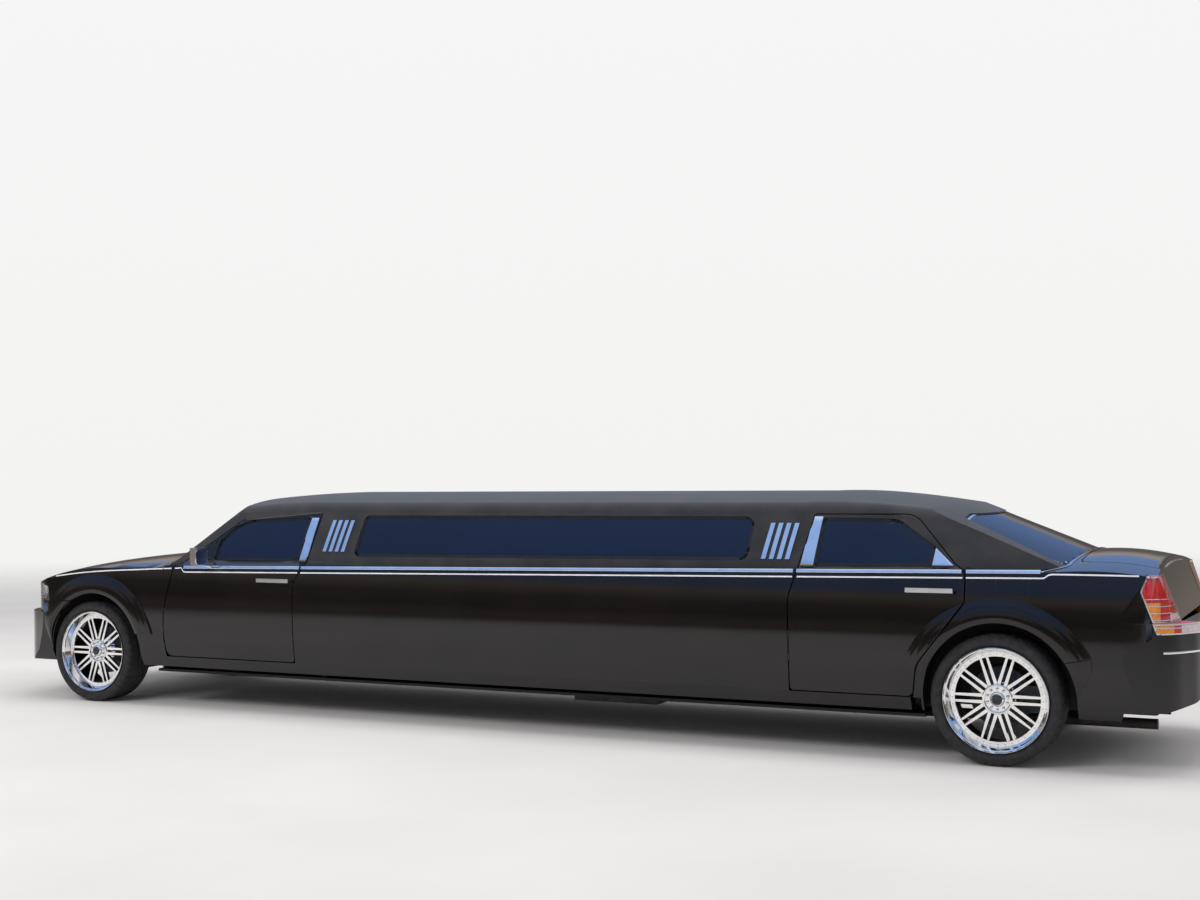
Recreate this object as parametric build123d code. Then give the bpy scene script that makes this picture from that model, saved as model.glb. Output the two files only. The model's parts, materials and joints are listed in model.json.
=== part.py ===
from build123d import *
import os
from math import hypot, sqrt

# Stretch limousine in millimetres. +X points to the nose, +Y to the car's left and +Z up.
# The origin is on the ground, under the middle of the overall length and width.

# Overall
donor_wheelbase = 3048
stretch_length = 3556
front_overhang = 850
rear_overhang = 1101
body_half_width = 929
flare_proud = 12
roof_top = 1520
wheelbase = donor_wheelbase + stretch_length
nose_x = (wheelbase + front_overhang + rear_overhang) / 2
tail_x = -nose_x
front_axle_x = nose_x - front_overhang
rear_axle_x = front_axle_x - wheelbase

# Wheels
tyre_radius = 366
tyre_width = 256
bead_radius = 279.4
lip_radius = 293.5
wheel_plane_y = 785
rim_half_width = 118
hub_recess = 62
spoke_pairs = 10
spoke_width = 15
spoke_slot = 22
spoke_depth = 24
ring_inner_radius = 238
ring_outer_radius = 262
hub_disc_radius = 84
bore_radius = 30
running_gap = 0.3
disc_radius = 172
disc_thickness = 28
disc_plane_y = 735
kingpin_y = 690
kingpin_radius = 13
kingpin_half_span = 125

# Walls and gaps
shut_gap = 7
seat_gap = 0.3
door_wall = 95
frame_wall = 45
panel_wall = 14
lid_wall = 22
glass_wall = 6
edge_slant = 0.25

# Hinges. The eye turns on the pin between two ears, in a pocket cut from both panels
hood_gap = 8
hinge_pin_radius = 3
hinge_eye_radius = 5.5
hinge_pocket_radius = 8.5
hinge_ear = 8
hinge_play = 0.5
door_hinge_spans = [(545, 575), (675, 705)]
door_pivot_y = 925
front_door_pivot_x = 2729
rear_door_pivot_x = -1982
hood_hinge_spans = [(705, 729)]
hood_pivot_x = 2821
hood_pivot_z = 1016
trunk_hinge_spans = [(70, 94)]
trunk_pivot_x = -3600.5
trunk_pivot_z = 1164

# Heights of the lower body
sill_bottom = 285
door_bottom = 360
waist_z = 620
shoulder_z = 960
shoulder_inset = 24
belt_front_x = 2627
belt_front_z = 1012
belt_rake = 0.0134
belt_inset = 44
sill_inset = 60
door_bottom_inset = 25
nose_split_z = 645
bumper_top_front = 735
bumper_top_rear = 815
body_top = 1300
under = -200

# Wheel arches, about a centre a little behind and above each axle
arch_radius = 424
arch_back = 30
arch_up = 6
flare_outer = 562
liner_radius = 470
liner_wall = 8
liner_inner_y = 470

# Engine and cabin
engine_half_width = 270
cowl_x = 2745
firewall_x = 2870
firewall_wall = 15
door_front_x = 2752
door_split_x = 1578
rear_door_front_x = -1983
rear_door_back_x = -3022
floor_top = 255
floor_wall = 18
tunnel_half = 170
tunnel_top = 400
boot_floor_top = 460
kick_x = -2760
rear_wall_x = -2995


def belt_z(x):
    return belt_front_z + belt_rake * (belt_front_x - x)


def grow(rows, by):
    """Moves every side of a closed outline outwards by a distance, corner radii with it."""
    area = sum(a[0] * b[1] - b[0] * a[1] for a, b in zip(rows, rows[1:] + rows[:1]))
    turn = 1 if area > 0 else -1
    grown = []
    for before, here, after in zip(rows[-1:] + rows[:-1], rows, rows[1:] + rows[:1]):
        ux, uz = here[0] - before[0], here[1] - before[1]
        vx, vz = after[0] - here[0], after[1] - here[1]
        u, v = hypot(ux, uz), hypot(vx, vz)
        n1 = (turn * uz / u, -turn * ux / u)
        n2 = (turn * vz / v, -turn * vx / v)
        share = by / (1 + n1[0] * n2[0] + n1[1] * n2[1])
        corner = turn * (ux * vz - uz * vx)
        radius = here[2] + by if corner > 0 else here[2] - by
        radius = max(radius, 0.5) if here[2] else 0
        grown.append((here[0] + share * (n1[0] + n2[0]), here[1] + share * (n1[1] + n2[1]), radius))
    return grown


def outline(points, radii):
    return make_face(FilletPolyline(*points, radius=radii, close=True)).face()


def prism_y(rows, y_from, y_to, slant=0.0):
    """Rows x, z, corner radius. A slant shifts the far end along X by that share of the depth."""
    face = outline([(x, y_from, z) for x, z, r in rows], [r for x, z, r in rows])
    reach = Vector(slant * abs(y_to - y_from), y_to - y_from, 0)
    return Solid.extrude(face, reach)


def prism_x(rows, x_from, x_to):
    """Rows y, z, corner radius."""
    face = outline([(x_from, y, z) for y, z, r in rows], [r for y, z, r in rows])
    return Solid.extrude(face, Vector(x_to - x_from, 0, 0))


def prism_z(rows, z_from, z_to):
    """Rows x, y, corner radius."""
    face = outline([(x, y, z_from) for x, y, r in rows], [r for x, y, r in rows])
    return Solid.extrude(face, Vector(0, 0, z_to - z_from))


def block(x_from, x_to, y_from, y_to, z_from, z_to):
    size = (x_to - x_from, y_to - y_from, z_to - z_from)
    middle = ((x_from + x_to) / 2, (y_from + y_to) / 2, (z_from + z_to) / 2)
    return Pos(*middle) * Box(*[abs(s) for s in size])


def rod_y(x, z, radius, y_from, y_to):
    return Solid.make_cylinder(radius, abs(y_to - y_from), Plane((x, min(y_from, y_to), z), z_dir=(0, 1, 0)))


def rod_x(y, z, radius, x_from, x_to):
    return Solid.make_cylinder(radius, abs(x_to - x_from), Plane((min(x_from, x_to), y, z), z_dir=(1, 0, 0)))


def rod_z(x, y, radius, z_from, z_to):
    return Solid.make_cylinder(radius, abs(z_to - z_from), Plane((x, y, min(z_from, z_to)), z_dir=(0, 0, 1)))


def mirror_y(shape):
    return shape.mirror(Plane.XZ)


def both_sides(shape):
    return Compound(children=[*shape.solids(), *mirror_y(shape).solids()])


def main_solid(shape):
    return max(shape.solids(), key=lambda s: s.volume)


# Lower body: a section along the car, cut by the plan outlines and by the top surface
def side_section(inset, bottom):
    """The doors' section: a long arc, then a shoulder that leans in under the glass."""
    low = body_half_width - sill_inset - inset
    skirt = body_half_width - door_bottom_inset - inset
    waist = body_half_width - inset
    shoulder = body_half_width - shoulder_inset - inset
    belt = body_half_width - belt_inset - inset
    lean = (shoulder - belt) / (belt_z(0) - shoulder_z)
    top = shoulder - lean * (body_top - shoulder_z)
    edges = [
        Line((0, -low, bottom), (0, low, bottom)),
        Line((0, low, bottom), (0, low, sill_bottom)) if bottom < sill_bottom else None,
        Line((0, low, sill_bottom), (0, skirt, door_bottom)),
        ThreePointArc((0, skirt, door_bottom), (0, waist, waist_z), (0, shoulder, shoulder_z)),
        Line((0, shoulder, shoulder_z), (0, top, body_top)),
        Line((0, top, body_top), (0, -top, body_top)),
        Line((0, -top, body_top), (0, -shoulder, shoulder_z)),
        ThreePointArc((0, -shoulder, shoulder_z), (0, -waist, waist_z), (0, -skirt, door_bottom)),
        Line((0, -skirt, door_bottom), (0, -low, sill_bottom)),
        Line((0, -low, sill_bottom), (0, -low, bottom)) if bottom < sill_bottom else None,
    ]
    return make_face([e for e in edges if e]).face()


def side_block(inset, bottom=sill_bottom):
    length = nose_x - tail_x + 400
    return Pos(tail_x - 200, 0, 0) * Solid.extrude(side_section(inset, bottom), Vector(length, 0, 0))


def crest(x, next_x, next_y, radius):
    """Where an outline's middle corner lies so that its rounded tip reaches x."""
    corner = x
    for _ in range(20):
        corner = x + radius * (hypot(corner - next_x, next_y) / next_y - 1) * (1 if x > 0 else -1)
    return corner


# Plan outlines from nose centre to tail centre. Columns: x, y, corner radius
bow_radius = 2600
bumper_plan = [
    (crest(nose_x, nose_x - 50, 600, bow_radius), 0, bow_radius),
    (nose_x - 50, 600, 320),
    (nose_x - 215, 862, 260),
    (nose_x - 480, 960, 500),
    (tail_x + 560, 960, 500),
    (tail_x + 190, 880, 260),
    (tail_x + 42, 640, 320),
    (crest(tail_x, tail_x + 42, 640, bow_radius), 0, bow_radius),
]
upper_plan = [
    (nose_x - 66, 0, bow_radius),
    (nose_x - 118, 590, 300),
    (nose_x - 275, 850, 260),
    (nose_x - 540, 960, 500),
    (tail_x + 560, 960, 500),
    (tail_x + 225, 862, 200),
    (tail_x + 128, 640, 300),
    (tail_x + 96, 0, bow_radius),
]


def plan_rows(half):
    return half + [(x, -y, r) for x, y, r in half[-2:0:-1]]


# Crowned top surfaces. Columns: x, height on the centre line, height at 880 mm from it
crown_reach = 880
hood_stations = [
    (cowl_x, 1075, 1004),
    (3200, 1058, 988),
    (3677, 1004, 948),
    (3978, 948, 858),
    (nose_x + 20, 850, 700),
]
deck_stations = [
    (rear_door_back_x + 10, 1170, 1087),
    (-3600, 1168, 1086),
    (-3900, 1154, 1078),
    (-4060, 1118, 1056),
    (tail_x - 20, 1050, 1010),
]


def crowned_block(stations, drop):
    wide = 1000
    faces = []
    for x, middle, side in stations:
        edge = middle - (middle - side) * (wide / crown_reach) ** 2 - drop
        faces.append(make_face([
            Line((x, -wide, under), (x, wide, under)),
            Line((x, wide, under), (x, wide, edge)),
            ThreePointArc((x, wide, edge), (x, 0, middle - drop), (x, -wide, edge)),
            Line((x, -wide, edge), (x, -wide, under)),
        ]).face())
    return Solid.make_loft([f.outer_wire() for f in faces])


def top_block(drop):
    back, front = deck_stations[0][0], hood_stations[0][0]
    cabin = prism_y([
        (back, under, 0), (front, under, 0),
        (front, belt_z(front) - drop, 0), (back, belt_z(back) - drop, 0),
    ], -1000, 1000)
    return crowned_block(hood_stations, drop) + cabin + crowned_block(deck_stations, drop)


def tail_cut(inset):
    """What is taken off behind the trunk lid's sloping rear face, above the bumper."""
    low, high = (-4128 + inset, bumper_top_rear), (-4012 + inset, 1130)
    lean = (high[0] - low[0]) / (high[1] - low[1])
    peak = (high[0] + lean * (body_top + 100 - high[1]), body_top + 100)
    behind = tail_x - 300
    return prism_y([(*low, 0), (*peak, 0), (behind, peak[1], 0), (behind, low[1], 0)], -1100, 1100)


def under_cut():
    """The bumpers' undersides, which rise to the nose and to the tail."""
    nose = prism_y([
        (nose_x + 60, 470, 0), (nose_x - 4, 470, 60), (nose_x - 70, 345, 80), (nose_x - 300, 262, 0),
        (nose_x - 300, under, 0), (nose_x + 60, under, 0),
    ], -1100, 1100)
    tail = prism_y([
        (tail_x - 60, 480, 0), (tail_x + 14, 480, 60), (tail_x + 60, 385, 60), (tail_x + 190, 345, 90),
        (tail_x + 420, 330, 0), (tail_x + 600, under, 0), (tail_x - 60, under, 0),
    ], -1100, 1100)
    return nose + tail


def lower_body(inset=0.0, drop=None, bottom=sill_bottom):
    """The closed envelope under the belt line, or the same taken in on every side."""
    drop = inset if drop is None else drop
    step = max(inset, 0)
    low = prism_z(grow(plan_rows(bumper_plan), -inset), under, nose_split_z - step)
    high = prism_z(grow(plan_rows(upper_plan), -inset), under, body_top)
    ledge = prism_z(grow(plan_rows(bumper_plan), -inset), nose_split_z - step - 1, bumper_top_rear - step)
    ledge = ledge & block(tail_x - 100, -3600, -1100, 1100, 0, body_top)
    plan = low + high + ledge
    body = side_block(inset, bottom) & plan
    if drop > -500:
        body = body & top_block(drop)
    body = body - tail_cut(inset)
    return body - under_cut() if inset <= 0 else body


# Greenhouse. Columns: x, crown height, rail height, rail y, base y
house_stations = [
    (-3640, 1330, 1270, 690, 850),
    (-2880, 1446, 1342, 728, 879),
    (-2560, 1493, 1376, 739, 884),
    (-2000, roof_top, 1392, 745, 885),
    (1580, roof_top, 1392, 745, 885),
    (2150, 1492, 1366, 724, 873),
    (2780, 1420, 1310, 692, 842),
]
house_base = 930
rail_round = 42
shield_slope = 0.64
shield_foot_x = 2980
shield_bow = 280
shield_bow_reach = 800
backlight_slope = 0.394
backlight_foot_x = -3746
backlight_foot_z = 1107
backlight_bow = 260
backlight_bow_reach = 720


def house_face(row, inset):
    x, crown, rail, rail_y, base_y = row
    crown, rail, rail_y, base_y = crown - inset, rail - inset * 0.6, rail_y - inset, base_y - inset
    side_z = (house_base + rail) / 2
    side_y = (base_y + rail_y) / 2 + 9
    knee = (rail_y - 22, rail + rail_round)
    roof_edge = (rail_y - 92, rail + rail_round + 29)
    edges = [
        Line((x, -base_y, house_base), (x, base_y, house_base)),
        ThreePointArc((x, base_y, house_base), (x, side_y, side_z), (x, rail_y, rail)),
        ThreePointArc((x, rail_y, rail), (x, *knee), (x, *roof_edge)),
        ThreePointArc((x, *roof_edge), (x, 0, crown), (x, -roof_edge[0], roof_edge[1])),
        ThreePointArc((x, -roof_edge[0], roof_edge[1]), (x, -knee[0], knee[1]), (x, -rail_y, rail)),
        ThreePointArc((x, -rail_y, rail), (x, -side_y, side_z), (x, -base_y, house_base)),
    ]
    return make_face(edges).face()


def raked_cutter(foot_x, foot_z, slope, bow, bow_reach, forward):
    """What lies beyond a curved pane: its plan arc, drawn out along the pane's slope."""
    reach, rise = 1300, 900
    end = foot_x - forward * bow * (reach / bow_reach) ** 2
    away = foot_x + forward * 1500
    low = -300
    base_x = forward * low / slope
    arc = ThreePointArc((end, -reach, 0), (foot_x, 0, 0), (end, reach, 0))
    face = make_face([
        arc,
        Line((end, reach, 0), (away, reach, 0)),
        Line((away, reach, 0), (away, -reach, 0)),
        Line((away, -reach, 0), (end, -reach, 0)),
    ]).face()
    start = Pos(-base_x, 0, foot_z + low) * face
    return Solid.extrude(start, Vector(-forward * (rise - low) / slope, 0, rise - low))


def greenhouse(inset=0.0):
    rows = house_stations
    wires = [house_face(row, inset).outer_wire() for row in rows]
    back = Solid.make_loft(wires[:4])
    middle = Solid.make_loft(wires[3:5], True)
    front = Solid.make_loft(wires[4:])
    house = back + middle + front
    shield_shift = inset * sqrt(1 + shield_slope ** 2) / shield_slope
    light_shift = inset * sqrt(1 + backlight_slope ** 2) / backlight_slope
    house = house - raked_cutter(
        shield_foot_x - shield_shift, belt_z(2700), shield_slope, shield_bow, shield_bow_reach, 1)
    light_foot_x = backlight_foot_x + light_shift
    return house - raked_cutter(
        light_foot_x, backlight_foot_z, backlight_slope, backlight_bow, backlight_bow_reach, -1)


# Door outlines at the widest point of the side. Columns: x, z, corner radius
front_door_rows = [
    (door_front_x - 45, door_bottom, 60),
    (door_front_x, 610, 900),
    (2650, 1002, 40),
    (2112, 1337, 70),
    (1404, 1394, 25),
    (1497, belt_z(1500) + 22, 50),
    (door_split_x + 14, 905, 160),
    (door_split_x, door_bottom, 30),
]
rear_door_rows = [
    (rear_door_front_x, door_bottom, 30),
    (rear_door_front_x + 8, 900, 160),
    (rear_door_front_x - 54, belt_z(-2030) + 10, 60),
    (-2140, 1394, 25),
    (-2752, 1394, 130),
    (-2980, 1110, 45),
    (rear_door_back_x - 8, 1075, 20),
    (rear_door_back_x, 905, 60),
    (-2742, 545, 170),
    (-2721, door_bottom, 40),
]
slant_from = 990
slant_to = 560


def door_prism(rows, by):
    """The outline at full width, slanted so that the edges swing clear of what they shut against."""
    shift = -edge_slant * (slant_from - body_half_width)
    placed = [(x + shift, z, r) for x, z, r in grow(rows, by)]
    return prism_y(placed, slant_from, slant_to, edge_slant)


def hole_rows(rows):
    """The opening reaches under the door, down into the sill."""
    return [(x, door_bottom - 30 if z == door_bottom else z, r) for x, z, r in rows]


# Window openings, seen from the side. Columns: x, z, corner radius
front_glass_rows = [
    (2345, belt_z(2345) + 32, 15), (2328, 1175, 90), (2205, 1287, 90), (2060, 1334, 200),
    (1540, 1358, 25), (1590, belt_z(1590) + 30, 15),
]
rear_glass_rows = [
    (-2117, belt_z(-2117) + 12, 15), (-2152, 1370, 20), (-2600, 1364, 150),
    (-2830, 1208, 15), (-2808, belt_z(-2808) + 12, 10),
]
long_glass_rows = [
    (1146, belt_z(1146) + 62, 35), (1097, 1370, 35), (-1731, 1374, 60), (-1698, belt_z(-1698) + 44, 60),
]
# Windscreen and rear window openings, seen from the front and from behind. Columns: y, z, corner radius
shield_rows = [(-742, 1018, 30), (742, 1018, 30), (612, 1418, 60), (-612, 1418, 60)]
backlight_rows = [(-742, 1104, 30), (742, 1104, 30), (590, 1388, 60), (-590, 1388, 60)]

# Hood and trunk lid in plan. Columns: x, y, corner radius
hood_half = [
    (nose_x - 150, 0, 2600), (nose_x - 178, 430, 60), (nose_x - 330, 735, 120), (2820, 765, 20),
    (3046, 0, 700),
]
lid_front_x = -3604


def lid_rows():
    return [(lid_front_x, 640, 60), (tail_x - 50, 610, 0), (tail_x - 50, -610, 0), (lid_front_x, -640, 60)]


def hinge(spans, rod, web, toward):
    """A row of hinges: the pocket, what the moving panel gets and what the fixed one gets."""
    pocket, eyes, ears, bores = [], [], [], []
    for low, high in spans:
        pocket.append(rod(hinge_pocket_radius, low - hinge_ear - 2, high + hinge_ear + 2))
        eyes += [rod(hinge_eye_radius, low, high), web(toward, low, high)]
        bores.append(rod(hinge_pin_radius + running_gap, low - 1, high + 1))
        ears.append(rod(hinge_pin_radius, low - hinge_ear, high + hinge_ear))
        for start, end in ((low - hinge_ear, low - hinge_play), (high + hinge_play, high + hinge_ear)):
            ears += [rod(hinge_eye_radius, start, end), web(-toward, start, end)]
    eyes = eyes[0].fuse(*eyes[1:]) - bores
    return pocket, eyes, ears[0].fuse(*ears[1:])


def door_hinge(x):
    y = door_pivot_y
    half = hinge_eye_radius

    def web(way, low, high):
        ends = sorted((x, x + way * (hinge_pocket_radius + 7)))
        return block(*ends, y - half, y, low, high)

    return hinge(door_hinge_spans, lambda r, low, high: rod_z(x, y, r, low, high), web, -1)


def cross_hinge(x, z, spans, toward, reach):
    def web(way, low, high):
        ends = sorted((x, x + way * reach))
        return block(*ends, low, high, z - hinge_eye_radius, z)

    both = spans + [(-high, -low) for low, high in spans]
    return hinge(both, lambda r, low, high: rod_y(x, z, r, low, high), web, toward)


# Lamps, seen from the side, with how far in they reach. Columns: x, z, corner radius
tail_lamp_rows = [
    (-3985, 1072, 12), (-3950, 985, 30), (-4030, 757, 12), (tail_x - 100, 757, 0), (tail_x - 100, 1072, 0),
]
tail_lamp_inner = 618
head_lamp_rows = [
    (3850, 838, 30), (3832, 800, 30), (3880, 748, 20), (nose_x + 50, 748, 0), (nose_x + 50, 852, 0),
    (3920, 852, 40),
]
head_lamp_inner = 440
grille_half = 372
grille_low = 560
grille_high = 850
grille_rim = 24
grille_rows = 5
grille_columns = 8
grille_back_x = nose_x - 136
lamp_wall = 70

# Rear plate's recess, with its two bolt holes
plate_face_x = tail_x + 9.5
plate_pad = 16
plate_half_width = 172
plate_low = 556
plate_high = 696
plate_bolt_z = 640
plate_bolts = 178
plate_hole_radius = 3.5

# Arches
front_arch = (front_axle_x - arch_back - 15, tyre_radius + arch_up)
rear_arch = (rear_axle_x - arch_back + 10, tyre_radius + arch_up)


def arch_cut(centre, radius=arch_radius):
    """A round arch whose sides drop straight down below the axle."""
    x, z = centre
    return rod_y(x, z, radius, 300, 1200) + block(x - radius, x + radius, 300, 1200, under, z)


def flare_ring(centre):
    x, z = centre
    ring = rod_y(x, z, flare_outer, 600, 1200) - rod_y(x, z, arch_radius, 590, 1210)
    return ring & block(x - 700, x + 700, 600, 1200, z + 140, z + 700)


def liner(centre, y_from, y_to):
    """The wheelhouse: a half drum over the tyre, with its inner side closed."""
    x, z = centre
    hollow = rod_y(x, z, liner_radius, y_from + liner_wall, y_to + 10)
    shell = rod_y(x, z, liner_radius + liner_wall, y_from, y_to) - hollow
    shell = shell & block(x - 600, x + 600, 0, 1200, z - 60, z + 600)
    return shell - block(x - 75, x + 165, 0, y_from + liner_wall + 50, z - 80, z + 150)


body_out = lower_body(0)
body_flared = lower_body(-flare_proud, drop=0)
body_wall_in = lower_body(door_wall, drop=-600, bottom=under)
body_panel_in = lower_body(panel_wall, bottom=under)
body_lid_in = lower_body(lid_wall, bottom=under)
body_top_clear = lower_body(0, drop=-seat_gap)
house_out = greenhouse(0)
house_in = greenhouse(frame_wall)
glass_outer = greenhouse(8)
glass_inner = greenhouse(8 + glass_wall)
wall_shell = body_out - body_wall_in
panel_shell = body_out - body_panel_in
lid_shell = body_out - body_lid_in
house_shell = house_out - house_in
glass_shell = glass_outer - glass_inner
front_door_hole = door_prism(hole_rows(front_door_rows), 0)
rear_door_hole = door_prism(hole_rows(rear_door_rows), 0)


def rows_prism_both(rows, by=0.0):
    return prism_y(grow(rows, by), 400, 1200)


def hood_region(by):
    return prism_z(grow(plan_rows(hood_half), by), 700, 1300)


def lid_region(by):
    return prism_z(grow(lid_rows(), by), bumper_top_rear + shut_gap - by, 1400)


def bumper_front_region(by):
    return block(front_arch[0] + 100, nose_x + 200, 0, 1300, under, bumper_top_front + by)


def bumper_rear_region(by):
    x = rear_arch[0]
    rows = [(x - 200, 560, 0), (-3930, 668, 60), (-4020, 748, 0), (-4100, bumper_top_rear, 0),
            (tail_x - 200, bumper_top_rear, 0), (tail_x - 200, under, 0), (x - 200, under, 0)]
    return prism_y(grow(rows, by), -1200, 1200)


def tail_lamp_region(by):
    return prism_y(grow(tail_lamp_rows, by), tail_lamp_inner - by, 1200)


def head_lamp_region(by):
    return prism_y(grow(head_lamp_rows, by), head_lamp_inner - by, 1200)


def grille_region(by):
    rows = [(-grille_half + 40, grille_low, 20), (grille_half - 40, grille_low, 20),
            (grille_half, grille_high, 20), (-grille_half, grille_high, 20)]
    return prism_x(grow(rows, by), nose_x - 260, nose_x + 60)


front_door_hinge = door_hinge(front_door_pivot_x)
rear_door_hinge = door_hinge(rear_door_pivot_x)
hood_hinge = cross_hinge(hood_pivot_x, hood_pivot_z, hood_hinge_spans, 1, 26)
trunk_hinge = cross_hinge(trunk_pivot_x, trunk_pivot_z, trunk_hinge_spans, -1, 18)


# Body sides
def make_side_panel():
    zone = block(rear_door_front_x - 60, door_split_x + 20, 0, 1200, door_bottom, belt_z(-2100) + 20)
    panel = main_solid((wall_shell & zone) - front_door_hole - rear_door_hole)
    pocket, eyes, ears = rear_door_hinge
    return main_solid((panel - pocket).fuse(*ears.solids()))


def make_front_fender():
    zone = block(2560, nose_x + 100, 0, 1200, sill_bottom, body_top)
    skin = (panel_shell & zone) - front_door_hole - block(2500, 2850, 0, 1200, under, door_bottom)
    flare = (body_flared - body_panel_in) & flare_ring(front_arch)
    skin = skin + flare
    skin = skin - arch_cut(front_arch) - hood_region(hood_gap) - block(2500, 3080, -10, 768, 800, 1300)
    skin = skin - bumper_front_region(seat_gap) - head_lamp_region(seat_gap) - grille_region(seat_gap)
    well = liner(front_arch, liner_inner_y, body_half_width - 40)
    fender = main_solid(main_solid(skin) + (well - body_cut_outside()))
    pocket, eyes, ears = front_door_hinge
    return main_solid((fender - pocket).fuse(*ears.solids()))


def body_cut_outside():
    """Everything outside the fender's own skin line, for pieces that end against it from inside."""
    far = block(tail_x - 200, nose_x + 200, 0, 1400, under, 1700)
    return far - body_panel_in


def make_rear_quarter():
    zone = block(tail_x - 100, -2650, 0, 1200, sill_bottom, body_top)
    skin = (panel_shell & zone) - block(-2760, -2600, 0, 1200, under, door_bottom)
    flare = (body_flared - body_panel_in) & flare_ring(rear_arch)
    skin = (skin + flare) - rear_door_hole - arch_cut(rear_arch)
    skin = skin - lid_region(shut_gap) - block(-3600, -2700, -10, 800, 900, 1300)
    skin = skin - bumper_rear_region(seat_gap) - tail_lamp_region(seat_gap)
    well = liner(rear_arch, liner_inner_y, body_half_width - 40)
    return main_solid(main_solid(skin) + (well - body_cut_outside()))


def make_front_bumper():
    shell = (body_out - lower_body(panel_wall, bottom=under)) & block(
        front_arch[0] + 100, nose_x + 100, -1200, 1200, under, bumper_top_front)
    shell = shell - arch_cut(front_arch) - mirror_y(arch_cut(front_arch))
    return main_solid(shell - grille_region(seat_gap))


def make_rear_bumper():
    shell = panel_shell & bumper_rear_region(0)
    shell = shell - arch_cut(rear_arch) - mirror_y(arch_cut(rear_arch))
    lamps = tail_lamp_region(seat_gap)
    shell = shell - lamps - mirror_y(lamps) - lid_region(shut_gap)
    half = plate_half_width
    pad = block(plate_face_x, plate_face_x + plate_pad, -half, half, plate_low, plate_high)
    recess = block(tail_x - 50, plate_face_x, -half + 8, half - 8, plate_low + 8, plate_high - 8)
    shell = (shell + pad) - recess
    for s in (-1, 1):
        shell = shell - rod_x(s * plate_bolts / 2, plate_bolt_z, plate_hole_radius, tail_x - 50, tail_x + 60)
    return main_solid(shell)


def make_hood():
    pocket, eyes, ears = hood_hinge
    return main_solid(((lid_shell & hood_region(0)) - pocket).fuse(*eyes.solids()))


def make_trunk_lid():
    pocket, eyes, ears = trunk_hinge
    return main_solid(((lid_shell & lid_region(0)) - pocket).fuse(*eyes.solids()))


def make_head_lamps():
    shell = (body_out - lower_body(lamp_wall, bottom=under)) & head_lamp_region(0)
    return both_sides(main_solid(shell - hood_region(hood_gap)))


def make_tail_lamps():
    shell = (body_out - lower_body(lamp_wall, bottom=under)) & tail_lamp_region(0)
    return both_sides(main_solid(shell - lid_region(shut_gap)))


def make_grille():
    frame = body_out & grille_region(0) & block(grille_back_x, nose_x + 60, -600, 600, under, body_top)
    frame = main_solid(frame - hood_region(hood_gap))
    cells = grille_region(-grille_rim)
    bars = []
    for k in range(1, grille_rows):
        z = grille_low + (grille_high - grille_low) * k / grille_rows
        bars.append(block(grille_back_x - 10, nose_x + 90, -600, 600, z - 3, z + 3))
    for k in range(1, grille_columns):
        y = grille_half * (2 * k / grille_columns - 1)
        bars.append(block(grille_back_x - 10, nose_x + 90, y - 3, y + 3, grille_low - 10, grille_high + 10))
    return main_solid(frame - (cells - bars))


# Roof with its pillars
def make_roof_shell():
    half = (house_shell & block(tail_x, nose_x, 0, 1200, house_base - 10, 1700)) - body_top_clear
    half = half - front_door_hole - rear_door_hole - rows_prism_both(long_glass_rows)
    half = half - prism_x(shield_rows, 2110, 3400) - prism_x(backlight_rows, -2950, -3900)
    half = main_solid(half)
    return main_solid(half + mirror_y(half))


def make_windshield():
    pane = glass_shell & prism_x(grow(shield_rows, -seat_gap), 2120, 3300)
    return main_solid(pane - body_top_clear)


def make_rear_window():
    pane = glass_shell & prism_x(grow(backlight_rows, -seat_gap), -2960, -3900)
    return main_solid(pane - body_top_clear)


def side_pane(rows):
    return main_solid(glass_shell & rows_prism_both(rows, -seat_gap))


# Doors
def make_door(rows, glass_rows, hinges):
    zone = door_prism(rows, -shut_gap)
    low = wall_shell & zone
    high = (house_shell & zone) & block(tail_x, nose_x, 0, 1200, 1000, 1600)
    flare = (body_flared - body_wall_in) & flare_ring(rear_arch) & zone
    door = low.fuse(high, *flare.solids()) if flare else low.fuse(high)
    door = door - arch_cut(rear_arch) - rows_prism_both(glass_rows)
    pocket, eyes, ears = hinges
    return main_solid((main_solid(door) - pocket).fuse(*eyes.solids()))


def make_door_trim(handle_x, mirror_x=None):
    """The pull handle and, on the front door, the outside mirror."""
    z = 925 if mirror_x else 970
    bar = block(handle_x - 135, handle_x + 135, 944, 957, z - 13, z + 13)
    posts = [block(x - 16, x + 16, 890, 950, z - 9, z + 9) for x in (handle_x - 105, handle_x + 105)]
    handle = (bar + posts[0] + posts[1]) - lower_body(-seat_gap, drop=0)
    pieces = [main_solid(handle)]
    if mirror_x:
        shell = prism_z([(mirror_x + 70, 955, 30), (mirror_x + 62, 1075, 50), (mirror_x - 10, 1090, 20),
                         (mirror_x - 20, 950, 10)], 1020, 1146)
        arm = block(mirror_x + 45, mirror_x + 72, 780, 970, 1034, 1062)
        pieces.append(main_solid((shell + arm) - lower_body(-seat_gap, drop=0) - greenhouse(-seat_gap)))
    return Compound(children=pieces)


# Wheels
def turned(profile):
    """A solid of revolution about the wheel's axis. Columns: y from the wheel's plane, radius."""
    return revolve(outline([(0, y, r) for y, r in profile], [0] * len(profile)), Axis.Y).solids()[0]


def make_tyre():
    half = tyre_width / 2
    bead = bead_radius + seat_gap
    return turned([
        (-104.5, bead), (-104.5, 297), (-half, 322), (-half + 8, 350), (-half + 24, tyre_radius),
        (half - 24, tyre_radius), (half - 8, 350), (half, 322), (104.5, 297), (104.5, bead),
        (92, bead), (half - 16, 342), (-half + 16, 342), (-92, bead),
    ])


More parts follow.
